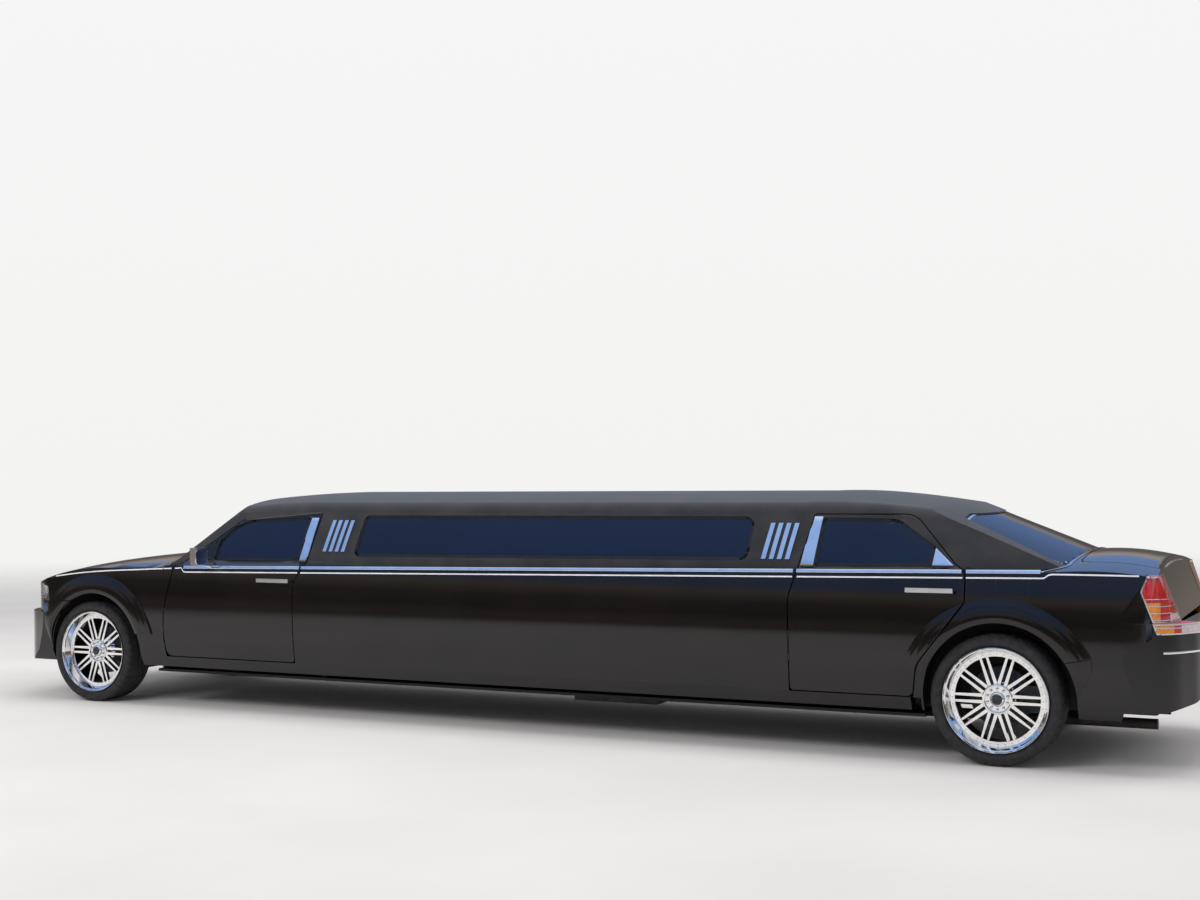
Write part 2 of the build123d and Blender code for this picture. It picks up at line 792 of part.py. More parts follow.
def make_rim():
    """A deep dished rim with paired spokes."""
    edge = rim_half_width
    face_y = edge - hub_recess
    barrel = turned([
        (-edge, lip_radius), (-edge + 12, bead_radius), (-60, bead_radius), (-40, 258), (30, 258),
        (58, bead_radius), (edge - 12, bead_radius), (edge - 4, lip_radius), (edge, lip_radius - 3),
        (face_y + 3, ring_outer_radius), (face_y + 3, ring_inner_radius),
        (face_y - 14, ring_inner_radius + 4), (-edge + 10, 252),
    ])
    hub = rod_y(0, 0, hub_disc_radius, face_y - 34, face_y + 2)
    offset_z = (spoke_width + spoke_slot) / 2
    spokes = []
    for k in range(spoke_pairs):
        for side in (-1, 1):
            mid = side * offset_z
            corners = [(60, mid - 10), (60, mid + 10), (ring_inner_radius + 6, mid + spoke_width / 2 - 1),
                       (ring_inner_radius + 6, mid - spoke_width / 2 + 1)]
            bar = Solid.extrude(outline([(x, face_y - spoke_depth, z) for x, z in corners], [0] * 4),
                                Vector(0, spoke_depth, 0))
            spokes.append(bar.rotate(Axis.Y, k * 360 / spoke_pairs))
    rim = barrel.fuse(hub, *spokes)
    bore = rod_y(0, 0, bore_radius + running_gap, face_y - 60, face_y - 18)
    return main_solid(rim - bore)


def make_disc():
    """The brake disc, whose hat reaches out to the hub's back face."""
    inner = disc_plane_y - wheel_plane_y - disc_thickness / 2
    hub_back = rim_half_width - hub_recess - 34
    disc = rod_y(0, 0, disc_radius, inner, inner + disc_thickness)
    hat = rod_y(0, 0, hub_disc_radius, inner, hub_back - seat_gap)
    return main_solid((disc + hat) - rod_y(0, 0, bore_radius + running_gap, inner - 5, hub_back + 5))


rim_solid = make_rim()
disc_solid = make_disc()
tyre_solid = make_tyre()


def wheel_place(axle_x, side):
    turn = Rot(0, 0, 0) if side > 0 else Rot(0, 0, 180)
    return Pos(axle_x, side * wheel_plane_y, tyre_radius) * turn


# Running gear
def knuckle():
    """The upright on its kingpin, with the stub axle and the caliper over the disc's back edge."""
    x, z = front_axle_x, tyre_radius
    inner = disc_plane_y - disc_thickness / 2
    upright = block(x - 45, x + 45, kingpin_y - 26, kingpin_y + 20, z - 95, z + 95)
    pins = rod_z(x, kingpin_y, kingpin_radius, z - kingpin_half_span, z + kingpin_half_span)
    stub = rod_y(x, z, bore_radius, kingpin_y, wheel_plane_y + rim_half_width - hub_recess - 20)
    shoulder = rod_y(x, z, 52, kingpin_y, inner - 6)
    return main_solid(upright.fuse(pins, stub, shoulder, *caliper(x, kingpin_y).solids()))


def caliper(x, root_y):
    z = tyre_radius
    inner = disc_plane_y - disc_thickness / 2
    outer = disc_plane_y + disc_thickness / 2
    jaw = block(x - 215, x - 105, inner - 30, outer + 26, z - 75, z + 75)
    jaw = jaw - rod_y(x, z, disc_radius + 6, inner - 6, outer + 6) - rod_y(x, z, 98, inner - 60, outer + 60)
    bracket = block(x - 150, x, root_y - 20, inner - 6, z - 40, z + 40)
    return jaw + bracket


def make_front_subframe():
    x, z = front_axle_x, tyre_radius
    beam = block(x - 90, x + 90, -430, 430, 196, 258)
    rail_from = firewall_x + firewall_wall + seat_gap
    pieces = [beam]
    for s in (-1, 1):
        mount_from, mount_to = sorted((s * (engine_half_width + seat_gap), s * 380))
        pieces.append(block(x - 70, x + 70, s * 400 - 30, s * 400 + 30, 250, 560))
        pieces.append(block(rail_from, 4000, s * 395 - 30, s * 395 + 30, 430, 500))
        pieces.append(block(3240, 3330, mount_from, mount_to, 440, 490))
    for s in (-1, 1):
        for height in (z - kingpin_half_span + 6, z + kingpin_half_span - 6):
            arm = prism_z([(x - 60, s * 400, 0), (x + 60, s * 400, 0), (x + 26, s * (kingpin_y + 4), 12),
                           (x - 26, s * (kingpin_y + 4), 12)], height - 11, height + 11)
            eye = rod_z(x, s * kingpin_y, 30, height - 11, height + 11)
            pieces.extend([arm, eye])
    frame = pieces[0].fuse(*pieces[1:])
    for s in (-1, 1):
        frame = frame - rod_z(x, s * kingpin_y, kingpin_radius + 0.05, 150, 700)
        frame = frame - block(x - 52, x + 52, s * kingpin_y - 60, s * kingpin_y + 60, z - 100, z + 100)
    return main_solid(frame)


def make_rear_axle():
    """The final drive in its subframe, the half shafts and stub axles, and both calipers."""
    x, z = rear_axle_x, tyre_radius
    inner = disc_plane_y - disc_thickness / 2
    case = block(x - 150, x + 170, -130, 130, z - 110, z + 65)
    beam = block(x - 60, x + 60, -620, 620, z - 60, z - 10)
    pieces = [case, beam]
    for s in (-1, 1):
        low, high = sorted((0, s * (inner - 40)))
        pieces.append(rod_y(x, z, 26, low, high))
        low, high = sorted((s * 600, s * (inner - 8)))
        pieces.append(block(x - 60, x + 60, low, high, z - 90, z + 90))
        low, high = sorted((s * 600, s * (wheel_plane_y + rim_half_width - hub_recess - 20)))
        pieces.append(rod_y(x, z, bore_radius, low, high))
        jaw = caliper(x, 640)
        pieces.extend((jaw if s > 0 else mirror_y(jaw)).solids())
    return main_solid(pieces[0].fuse(*pieces[1:]))


def make_engine():
    """The engine and gearbox, as one plain block each, joined."""
    motor = block(3010, 3640, -engine_half_width, engine_half_width, 330, 870)
    box = block(2440, 3011, -150, 150, 205, 372) + block(2900, 3011, -200, 200, 300, 560)
    return main_solid(motor + box)


def make_drive_shaft():
    shaft = rod_x(0, 295, 34, rear_axle_x + 170 + seat_gap, 2440 - seat_gap)
    bearings = [block(x - 25, x + 25, -60, 60, 235, tunnel_top - floor_wall - seat_gap) for x in (900, -900)]
    return main_solid(shaft.fuse(*bearings))


def make_exhaust():
    pieces = []
    for s in (-1, 1):
        pieces.append(rod_x(s * 300, 196, 30, -3960, 2700))
        pieces.append(block(-900, -300, s * 300 - 90, s * 300 + 90, 146, 225))
        for x in (1800, 400, -1700, -2500):
            pieces.append(block(x - 12, x + 12, s * 300 - 12, s * 300 + 12, 200, floor_top - floor_wall))
    pieces.append(block(600, 660, -300, 300, 180, 212))
    return main_solid(pieces[0].fuse(*pieces[1:]))


def make_fuel_tank():
    top = boot_floor_top - floor_wall
    return prism_y([(-3990, 262, 30), (-3560, 262, 30), (-3560, top, 0), (-3990, top, 0)], -430, 430)


def make_floor_pan():
    """The cabin floor with its tunnel, the kick-up and the boot floor."""
    low = floor_top - floor_wall
    half = 800
    ridge = tunnel_half + floor_wall
    under_ridge = tunnel_top - floor_wall
    flat = block(kick_x, firewall_x + firewall_wall, -half, half, low, floor_top)
    hump = block(kick_x, firewall_x + firewall_wall, -ridge, ridge, low, tunnel_top)
    hollow = block(kick_x - 50, firewall_x + 100, -tunnel_half, tunnel_half, low - 10, under_ridge)
    kick = block(kick_x - floor_wall, kick_x, -460, 460, low, boot_floor_top)
    boot = block(-4130, kick_x, -460, 460, boot_floor_top - floor_wall, boot_floor_top)
    rear_tunnel = block(kick_x - 60, kick_x + 60, -tunnel_half, tunnel_half, low - 10, under_ridge)
    return main_solid((flat + hump + kick + boot) - hollow - rear_tunnel)


def make_sills():
    zone = block(-2700, 2849, 0, 1200, sill_bottom - 60, door_bottom - seat_gap)
    sill = (lower_body(0, bottom=sill_bottom) & zone & block(-5000, 5000, 800 + seat_gap, 1200, 0, 2000))
    return both_sides(main_solid(sill))


def tunnel_clear():
    half = tunnel_half + floor_wall + seat_gap
    return block(kick_x - 100, nose_x, -half, half, 0, tunnel_top + seat_gap)


def make_cowl_firewall():
    """The wall behind the engine, with the fixed panel between the hood and the windscreen."""
    wall = lower_body(door_wall + 20, drop=panel_wall - 4, bottom=floor_top + seat_gap)
    wall = wall & block(firewall_x, firewall_x + firewall_wall, -760, 760, floor_top + seat_gap, 1200)
    under_hood = hood_region(hood_gap) & (block(2700, 3300, -900, 900, 900, 1300) - top_block(lid_wall + 8))
    wall = wall - under_hood - tunnel_clear()
    top = (body_out - top_block(panel_wall)) & block(cowl_x + 5, 3200, -760, 760, 900, 1300)
    low, high = hood_hinge_spans[0]
    notch_low = hood_pivot_z - hinge_pocket_radius
    notch = block(hood_pivot_x, hood_pivot_x + 14, low - 2, high + 2, notch_low, body_top)
    top = top - hood_region(hood_gap) - notch - mirror_y(notch)
    pocket, eyes, ears = hood_hinge
    return main_solid((wall.fuse(*top.solids()) - pocket).fuse(*ears.solids()))


def make_rear_bulkhead():
    """The wall behind the rear seat, the parcel shelf, and the filler panel in front of the lid."""
    wall = block(rear_wall_x - 15, rear_wall_x, -455, 455, boot_floor_top + seat_gap, 1056)
    shelf = block(-3470, rear_wall_x, -780, 780, 1040, 1056)
    filler = (body_out - top_block(panel_wall)) & block(-3599.7, -3450, -799.7, 799.7, 1000, 1300)
    filler = filler - lid_region(shut_gap)
    link = block(-3470, -3450, -740, 740, 1040, 1090)
    pocket, eyes, ears = trunk_hinge
    return main_solid((wall.fuse(shelf, link, *filler.solids()) - pocket).fuse(*ears.solids()))


def make_dashboard():
    front = firewall_x - seat_gap
    rows = [(front, 560, 0), (front, 985, 0), (2640, 972, 40), (2480, 930, 50), (2470, 820, 40),
            (2600, 600, 60)]
    return prism_y(rows, -735, 735)


def make_steering_wheel():
    place = Plane((2330, 440, 880), z_dir=(-1, 0, 0.42))
    corners = ((1, -0.5), (1, 0.5), (0, 1), (-1, 0.5), (-1, -0.5), (0, -1))
    rim_points = [(180 + 14 * a, 0, 14 * b) for a, b in corners]
    ring = revolve(place * outline(rim_points, [0] * 6), Axis(place.origin, place.z_dir)).solids()[0]
    hub = Solid.make_cylinder(48, 40, Plane(place.origin, z_dir=-place.z_dir))
    column = Solid.make_cylinder(24, 200, Plane(place.origin, z_dir=-place.z_dir))
    spokes = [place * Rot(0, 0, angle) * Pos(90, 0, -6) * Box(180, 26, 12) for angle in (0, 120, 240)]
    wheel = ring.fuse(hub, column, *[s.solids()[0] for s in spokes])
    return main_solid(wheel - make_dashboard())


def make_front_seats():
    solids = []
    for y in (-440, 440):
        cushion = prism_y([(1760, floor_top + seat_gap, 0), (2260, floor_top + seat_gap, 0), (2280, 540, 60),
                           (1760, 500, 20)], y - 245, y + 245)
        back_rows = [(1760 - seat_gap, 330, 20), (1760 - seat_gap, 495, 0), (1700, 1010, 30),
                     (1690, 1180, 30), (1600, 1180, 30), (1590, 1000, 30), (1640, 330, 20)]
        back = prism_y(back_rows, y - 240, y + 240)
        solids += [cushion, back]
    return Compound(children=solids)


def make_partition():
    slab = block(1440, 1470, -1000, 1000, floor_top + seat_gap, 1600)
    low = slab & lower_body(door_wall + 12, drop=-600, bottom=under)
    high = slab & greenhouse(frame_wall + 4) & block(1400, 1500, -1000, 1000, 1034, 1600)
    window = prism_x([(-480, 1040, 40), (480, 1040, 40), (450, 1330, 40), (-450, 1330, 40)], 1400, 1500)
    wall = low & block(1400, 1500, -1000, 1000, 0, 1035)
    return main_solid(wall.fuse(*high.solids()) - window - tunnel_clear())


def make_lounge_seat():
    """The rear bench and the bench along the right side, each a cushion and a back."""
    low = floor_top + seat_gap
    rear_cushion = prism_y([(-2750, low, 0), (-2230, low, 0), (-2190, 600, 60), (-2750, 570, 20)], -640, 640)
    shelf = boot_floor_top + seat_gap
    rear_back = prism_y([(-2750 - seat_gap, shelf, 0), (-2750 - seat_gap, 565, 0), (-2860, 1080, 40),
                         (-2980, 1085, 30), (-2980, shelf, 0)], -600, 600)
    side_cushion = prism_x([(-790, low, 0), (-330, low, 0), (-315, 590, 50), (-790, 560, 20)], -1850, 1250)
    side_back = prism_x([(-792, 565, 0), (-690, 562, 10), (-720, 990, 30), (-785, 1000, 0)], -1850, 1250)
    return Compound(children=[main_solid(rear_cushion - tunnel_clear()), rear_back, side_cushion, side_back])


def bars_from(x_start):
    """Four slanted bars on the side of the roof shell."""
    solids = []
    skin = greenhouse(-6) - greenhouse(-seat_gap)
    for k in range(4):
        x = x_start - 50 * k
        bar_rows = [(x - 14, 1126, 0), (x + 14, 1126, 0), (x - 30, 1338, 0), (x - 58, 1338, 0)]
        bar = prism_y(bar_rows, 600, 1100)
        solids.append(main_solid(skin & bar))
    return solids


def make_opera_bars():
    solids = bars_from(1383) + bars_from(-1800)
    return Compound(children=[*solids, *[mirror_y(s) for s in solids]])


# Every piece by its node name
def build_parts():
    parts = {}
    parts["side_panels"] = both_sides(make_side_panel())
    fender = make_front_fender()
    parts["front_fenders"] = main_solid(fender + mirror_y(fender))
    parts["rear_quarters"] = both_sides(make_rear_quarter())
    parts["front_bumper"] = make_front_bumper()
    parts["rear_bumper"] = make_rear_bumper()
    parts["hood"] = make_hood()
    parts["trunk_lid"] = make_trunk_lid()
    parts["headlamps"] = make_head_lamps()
    parts["taillamps"] = make_tail_lamps()
    parts["grille"] = make_grille()
    parts["roof_shell"] = make_roof_shell()
    parts["windshield"] = make_windshield()
    parts["rear_window"] = make_rear_window()
    parts["side_windows"] = both_sides(side_pane(long_glass_rows))
    parts["opera_bars"] = make_opera_bars()
    doors = [
        ("front", front_door_rows, front_glass_rows, front_door_hinge, 1740, 2310),
        ("rear", rear_door_rows, rear_glass_rows, rear_door_hinge, -2825, None),
    ]
    for place, rows, glass_rows, hinges, handle_x, mirror_x in doors:
        door = make_door(rows, glass_rows, hinges)
        pane = side_pane(glass_rows)
        trim = make_door_trim(handle_x, mirror_x)
        for side, turn in (("left", lambda s: s), ("right", mirror_y)):
            parts[f"door_{place}_{side}"] = turn(door)
            parts[f"glass_{place}_{side}"] = turn(pane)
            parts[f"trim_{place}_{side}"] = Compound(children=[turn(s) for s in trim.solids()])
    for place, axle_x in (("front", front_axle_x), ("rear", rear_axle_x)):
        for side, sign in (("left", 1), ("right", -1)):
            spot = wheel_place(axle_x, sign)
            parts[f"wheel_{place}_{side}"] = Compound(children=[spot * rim_solid, spot * disc_solid])
            parts[f"tyre_{place}_{side}"] = spot * tyre_solid
    parts["knuckle_left"] = knuckle()
    parts["knuckle_right"] = mirror_y(knuckle())
    parts["front_subframe"] = make_front_subframe()
    parts["rear_axle"] = make_rear_axle()
    parts["engine_block"] = make_engine()
    parts["drive_shaft"] = make_drive_shaft()
    parts["exhaust"] = make_exhaust()
    parts["fuel_tank"] = make_fuel_tank()
    parts["floor_pan"] = make_floor_pan()
    parts["sills"] = make_sills()
    parts["cowl_firewall"] = make_cowl_firewall()
    parts["rear_bulkhead"] = make_rear_bulkhead()
    parts["dashboard"] = make_dashboard()
    parts["steering_wheel"] = make_steering_wheel()
    parts["front_seats"] = make_front_seats()
    parts["partition"] = make_partition()
    parts["lounge_seat"] = make_lounge_seat()
    return parts


os.makedirs("parts", exist_ok=True)
for name, shape in build_parts().items():
    export_step(shape, f"parts/{name}.step")
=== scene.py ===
import json
import math
import bpy
from mathutils import Matrix, Vector

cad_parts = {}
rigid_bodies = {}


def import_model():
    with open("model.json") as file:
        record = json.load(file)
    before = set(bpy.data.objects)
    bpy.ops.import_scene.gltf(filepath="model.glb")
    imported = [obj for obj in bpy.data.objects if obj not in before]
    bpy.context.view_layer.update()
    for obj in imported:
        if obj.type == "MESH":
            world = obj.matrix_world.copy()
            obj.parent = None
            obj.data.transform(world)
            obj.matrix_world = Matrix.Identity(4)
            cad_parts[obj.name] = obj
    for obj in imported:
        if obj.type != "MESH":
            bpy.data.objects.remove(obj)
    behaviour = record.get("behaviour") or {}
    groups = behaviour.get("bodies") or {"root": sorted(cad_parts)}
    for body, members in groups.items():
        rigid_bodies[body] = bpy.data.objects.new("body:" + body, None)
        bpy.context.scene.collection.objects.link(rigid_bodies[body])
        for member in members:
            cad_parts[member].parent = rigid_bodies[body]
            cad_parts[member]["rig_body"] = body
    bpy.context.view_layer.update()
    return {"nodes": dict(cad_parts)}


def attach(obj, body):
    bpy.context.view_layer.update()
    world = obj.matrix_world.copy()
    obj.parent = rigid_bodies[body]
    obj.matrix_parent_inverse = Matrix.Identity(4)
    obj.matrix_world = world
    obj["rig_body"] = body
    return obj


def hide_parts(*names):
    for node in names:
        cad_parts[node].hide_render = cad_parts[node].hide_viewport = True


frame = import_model()
nodes = frame["nodes"]
scene = bpy.context.scene
print("stage: frame loaded")


# Picking and finishing by hand

def pickNone():
    if bpy.context.object and bpy.context.object.mode != "OBJECT":
        bpy.ops.object.mode_set(mode="OBJECT")
    bpy.ops.object.select_all(action="DESELECT")


def pickOnly(*chosen):
    pickNone()
    for piece in chosen:
        piece.select_set(True)
    bpy.context.view_layer.objects.active = chosen[0]


def editPicked(piece, kind, picked):    # opens edit mode with points (kind 0), edges (1) or faces (2) picked
    mesh = piece.data
    for place, parts in enumerate((mesh.vertices, mesh.edges, mesh.polygons)):
        parts.foreach_set("select", picked if place == kind else [False] * len(parts))
    bpy.context.tool_settings.mesh_select_mode = [place == kind for place in range(3)]
    bpy.ops.object.mode_set(mode="EDIT")


def editPoints(piece, test):
    pickOnly(piece)
    editPicked(piece, 0, [bool(test(point.co)) for point in piece.data.vertices])


def editEdges(piece, test):     # the test gets an edge's two ends
    pickOnly(piece)
    points = piece.data.vertices
    editPicked(piece, 1, [bool(test(*(points[end].co for end in edge.vertices))) for edge in piece.data.edges])


def editFaces(piece, test):     # the test gets a face's middle and normal
    pickOnly(piece)
    editPicked(piece, 2, [bool(test(face.center, face.normal)) for face in piece.data.polygons])


def editAll(piece):
    pickOnly(piece)
    bpy.ops.object.mode_set(mode="EDIT")
    bpy.ops.mesh.select_all(action="SELECT")


def leaveEdit():
    bpy.ops.object.mode_set(mode="OBJECT")


def modify(piece, kind, **settings):    # adds one modifier and applies it
    pickOnly(piece)
    added = piece.modifiers.new(kind.lower(), kind)
    for key, value in settings.items():
        setattr(added, key, value)
    bpy.ops.object.modifier_apply(modifier=added.name)


def smooth(piece, angle=30):
    pickOnly(piece)
    bpy.ops.object.shade_smooth_by_angle(angle=math.radians(angle))


def placeInMesh(piece):
    pickOnly(piece)
    bpy.ops.object.transform_apply(location=True, rotation=True, scale=True)


def tidyMesh(piece, gap=0.00005):       # merges doubles and turns all faces outward
    editAll(piece)
    bpy.ops.mesh.remove_doubles(threshold=gap)
    bpy.ops.mesh.normals_make_consistent(inside=False)
    leaveEdit()


def addMesh(maker, **settings):     # a new primitive with its place and turn taken into its mesh
    pickNone()
    maker(**settings)
    placeInMesh(bpy.context.object)
    return bpy.context.object


def weld(piece):        # merges doubles and leaves the faces as they lie
    editAll(piece)
    bpy.ops.mesh.remove_doubles(threshold=0.00002)
    leaveEdit()


def divide(piece, cuts):
    editAll(piece)
    bpy.ops.mesh.subdivide(number_cuts=cuts)
    leaveEdit()


def dropPoints(piece, test):
    editPoints(piece, test)
    bpy.ops.mesh.delete(type="VERT")
    leaveEdit()


def dropFaces(piece, test):
    editFaces(piece, test)
    bpy.ops.mesh.delete(type="FACE")
    leaveEdit()


def cutPlane(piece, at, facing, keep="both"):       # splits the faces along a plane and drops one side if asked
    editAll(piece)
    bpy.ops.mesh.bisect(plane_co=at, plane_no=facing, clear_inner=keep == "above", clear_outer=keep == "below")
    leaveEdit()


def cutLevel(piece, z, keep="both"):
    cutPlane(piece, (0, 0, z), (0, 0, 1), keep)


def coverFaces(piece, material, test):      # one more material, on the faces that pass the test
    piece.data.materials.append(material)
    for face in piece.data.polygons:
        if test(face.center, face.normal):
            face.material_index = len(piece.data.materials) - 1


def finishPiece(piece, name, body, material, slotName, angle=30):
    placeInMesh(piece)
    piece.name = name
    piece.data.name = name
    piece.data.materials.clear()
    piece.data.materials.append(material)
    smooth(piece, angle)
    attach(piece, body)
    return piece


def copyPiece(piece, name, move=(0, 0, 0), flip=False):     # a copy with its own mesh, mirrored across the car if asked
    twin = piece.copy()
    twin.data = piece.data.copy()
    twin.parent = None
    twin.matrix_world = Matrix.Identity(4)
    twin.hide_render = False
    twin.hide_viewport = False
    bpy.context.collection.objects.link(twin)
    twin.name = name
    if flip:
        twin.data.transform(Matrix.Diagonal((1, -1, 1, 1)))
        twin.data.flip_normals()
    twin.data.transform(Matrix.Translation(move))
    for key in [k for k in twin.keys() if k.startswith("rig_")]:
        del twin[key]
    return twin


def joinPieces(first, *others):
    pickOnly(first, *others)
    bpy.ops.object.join()
    return first


# Finishes

def feed(tree, node, inputs):       # each input gets a value or another node's output
    for socket, value in inputs.items():
        if isinstance(value, bpy.types.NodeSocket):
            tree.links.new(value, node.inputs[socket])
        else:
            node.inputs[socket].default_value = value


def addNode(tree, kind, inputs={}):
    node = tree.nodes.new("ShaderNode" + kind)
    feed(tree, node, inputs)
    return node


def makeFinish(name, dark, light, rough, grain, bump=None, cells=False, **sockets):     # bump: strength, depth, grain
    material = bpy.data.materials.new(name)
    material.use_nodes = True
    tree = material.node_tree
    place = addNode(tree, "TexCoord").outputs["Object"]
    cloud = addNode(tree, "TexNoise", {"Scale": grain, "Detail": 4.0, "Vector": place}).outputs["Fac"]
    ramp = addNode(tree, "ValToRGB", {"Fac": cloud})
    for mark, at, tone in zip(ramp.color_ramp.elements, (0.35, 0.65), (dark, light)):
        mark.position = at
        mark.color = (*tone, 1)
    shine = addNode(tree, "MapRange", {"To Min": rough[0], "To Max": rough[1], "Value": cloud})
    inputs = {"Base Color": ramp.outputs["Color"], "Roughness": shine.outputs["Result"], **sockets}
    if bump:
        relief = addNode(tree, "TexVoronoi" if cells else "TexNoise", {"Scale": bump[2], "Vector": place})
        press = addNode(tree, "Bump", {"Strength": bump[0], "Distance": bump[1], "Height": relief.outputs[0]})
        inputs["Normal"] = press.outputs["Normal"]
    feed(tree, tree.nodes["Principled BSDF"], inputs)
    return material


lensCoat = {"Coat Weight": 1.0, "Coat Roughness": 0.02}
blackPaint = makeFinish("glossBlackPaint", (0.0042, 0.0034, 0.0032), (0.0068, 0.0052, 0.0048), (0.05, 0.09), 3.0,
                        (0.02, 0.0004, 260.0), **lensCoat, **{"Coat IOR": 1.45, "Specular IOR Level": 0.1})
roofVinyl = makeFinish("grainedVinyl", (0.016, 0.015, 0.015), (0.030, 0.028, 0.027), (0.55, 0.72), 6.0,
                       (0.55, 0.0012, 330.0), cells=True, **{"Sheen Weight": 0.15})
# the glass's own dark tint, with a navy blue cast that is a painted sky reflection
tintGlassPaintedSky = makeFinish("deepTintedGlass", (0.0030, 0.0085, 0.034), (0.0045, 0.012, 0.046), (0.0, 0.015), 2.0,
                       (0.01, 0.0005, 12.0), **{"Transmission Weight": 0.5, "IOR": 1.5, "Specular IOR Level": 0.6})
screenGlass = makeFinish("lightTintedGlass", (0.62, 0.70, 0.68), (0.70, 0.78, 0.75), (0.0, 0.01), 2.0,
                         (0.01, 0.0003, 10.0), **{"Transmission Weight": 1.0, "IOR": 1.5})
brightChrome = makeFinish("brightChrome", (0.82, 0.84, 0.86), (0.93, 0.94, 0.95), (0.03, 0.08), 14.0,
                          (0.015, 0.0005, 90.0), Metallic=1.0)
wheelChrome = makeFinish("wheelChrome", (0.80, 0.80, 0.80), (0.93, 0.92, 0.90), (0.04, 0.12), 22.0,
                         (0.02, 0.0006, 120.0), Metallic=1.0)
tyreRubber = makeFinish("tyreRubber", (0.014, 0.013, 0.013), (0.030, 0.028, 0.027), (0.62, 0.82), 30.0,
                        (0.35, 0.0008, 420.0))
headLens = makeFinish("headLens", (0.88, 0.90, 0.92), (0.95, 0.96, 0.97), (0.01, 0.04), 6.0,
                      (0.05, 0.0006, 60.0), **{"Transmission Weight": 1.0, "IOR": 1.46})
redLens = makeFinish("redLens", (0.42, 0.010, 0.012), (0.62, 0.018, 0.016), (0.05, 0.12), 18.0,
                     (0.3, 0.001, 120.0), cells=True, **lensCoat, **{"Transmission Weight": 0.12})
amberLens = makeFinish("amberLens", (0.75, 0.22, 0.012), (0.95, 0.36, 0.02), (0.05, 0.12), 18.0,
                       (0.3, 0.001, 120.0), cells=True, **lensCoat, **{"Transmission Weight": 0.12})
clearLens = makeFinish("clearLampLens", (0.72, 0.52, 0.52), (0.88, 0.70, 0.70), (0.05, 0.1), 18.0,
                       (0.3, 0.001, 120.0), cells=True, **lensCoat, **{"Transmission Weight": 0.15})
castMetal = makeFinish("castMetal", (0.045, 0.045, 0.046), (0.11, 0.11, 0.11), (0.45, 0.7), 16.0,
                       (0.3, 0.001, 180.0), Metallic=0.8)
engineAlloy = makeFinish("engineAlloy", (0.16, 0.16, 0.165), (0.30, 0.30, 0.31), (0.4, 0.6), 20.0,
                         (0.3, 0.001, 150.0), Metallic=0.9)
# dull steel of the exhaust, darkened further as painted shade under the car
exhaustSteelPaintedShade = makeFinish("exhaustSteelPaintedShade", (0.035, 0.031, 0.028), (0.080, 0.072, 0.066), (0.5, 0.7), 12.0,
                       (0.15, 0.0008, 70.0), Metallic=0.6)
underCoat = makeFinish("underbodyCoat", (0.010, 0.010, 0.010), (0.022, 0.021, 0.020), (0.7, 0.9), 25.0,
                       (0.5, 0.0015, 160.0))
tankPlastic = makeFinish("tankPlastic", (0.012, 0.012, 0.013), (0.025, 0.025, 0.026), (0.45, 0.6), 20.0,
                         (0.2, 0.0008, 200.0))
dashPlastic = makeFinish("dashPlastic", (0.028, 0.026, 0.025), (0.048, 0.045, 0.043), (0.5, 0.65), 30.0,
                         (0.4, 0.0008, 480.0), cells=True)
rimLeather = makeFinish("wheelRimLeather", (0.016, 0.015, 0.014), (0.032, 0.030, 0.028), (0.4, 0.55), 24.0,
                        (0.4, 0.0007, 420.0), cells=True)
seatLeather = makeFinish("seatLeather", (0.020, 0.018, 0.017), (0.042, 0.038, 0.036), (0.36, 0.52), 10.0,
                         (0.45, 0.0009, 300.0), cells=True, **{"Sheen Weight": 0.1})
cabinTrim = makeFinish("cabinTrim", (0.035, 0.030, 0.028), (0.060, 0.052, 0.048), (0.6, 0.8), 22.0,
                       (0.4, 0.001, 260.0), **{"Sheen Weight": 0.2})
headLining = makeFinish("headLining", (0.10, 0.092, 0.085), (0.15, 0.138, 0.128), (0.75, 0.9), 60.0,
                        (0.35, 0.0008, 520.0), **{"Sheen Weight": 0.3})
blackRubber = makeFinish("sealRubber", (0.006, 0.006, 0.006), (0.014, 0.014, 0.014), (0.45, 0.65), 30.0,
                         (0.2, 0.0006, 300.0))
# dark steel of the brake discs; the same dark goes on the wheels' inner barrels as painted shade between the spokes
brakeAndBarrelShade = makeFinish("brakeDiscsPaintedShade", (0.035, 0.034, 0.034), (0.085, 0.082, 0.080), (0.35, 0.55), 60.0,
                       (0.2, 0.0006, 240.0), Metallic=0.9)
plateBlank = makeFinish("blankPlate", (0.62, 0.63, 0.64), (0.74, 0.75, 0.76), (0.3, 0.4), 30.0,
                        (0.1, 0.0004, 200.0), **{"Coat Weight": 0.3})
whiteStripe = makeFinish("stripeVinyl", (0.74, 0.72, 0.76), (0.86, 0.84, 0.87), (0.22, 0.32), 16.0,
                         (0.05, 0.0003, 120.0), **{"Coat Weight": 0.6})
print("stage: finishes made")

nodeFinishes = {
    "paint": blackPaint, "roof_vinyl": roofVinyl, "tinted_glass": tintGlassPaintedSky, "clear_glass": screenGlass,
    "chrome_trim": brightChrome, "wheel_chrome": wheelChrome, "tyre_rubber": tyreRubber, "head_lens": headLens,
    "tail_lens": redLens, "cast_parts": castMetal, "engine_alloy": engineAlloy, "exhaust_steel": exhaustSteelPaintedShade,
    "underbody": underCoat, "tank_plastic": tankPlastic, "dash_plastic": dashPlastic, "wheel_leather": rimLeather,
    "seat_leather": seatLeather, "panel_trim": cabinTrim,
}
slotOf = {}
for nodeName, node in nodes.items():
    slotOf[nodeName] = node.data.materials[0].name.split(".")[0]
    for place in range(len(node.data.materials)):
        node.data.materials[place] = nodeFinishes[slotOf[nodeName]]


# Panels with smooth reflections

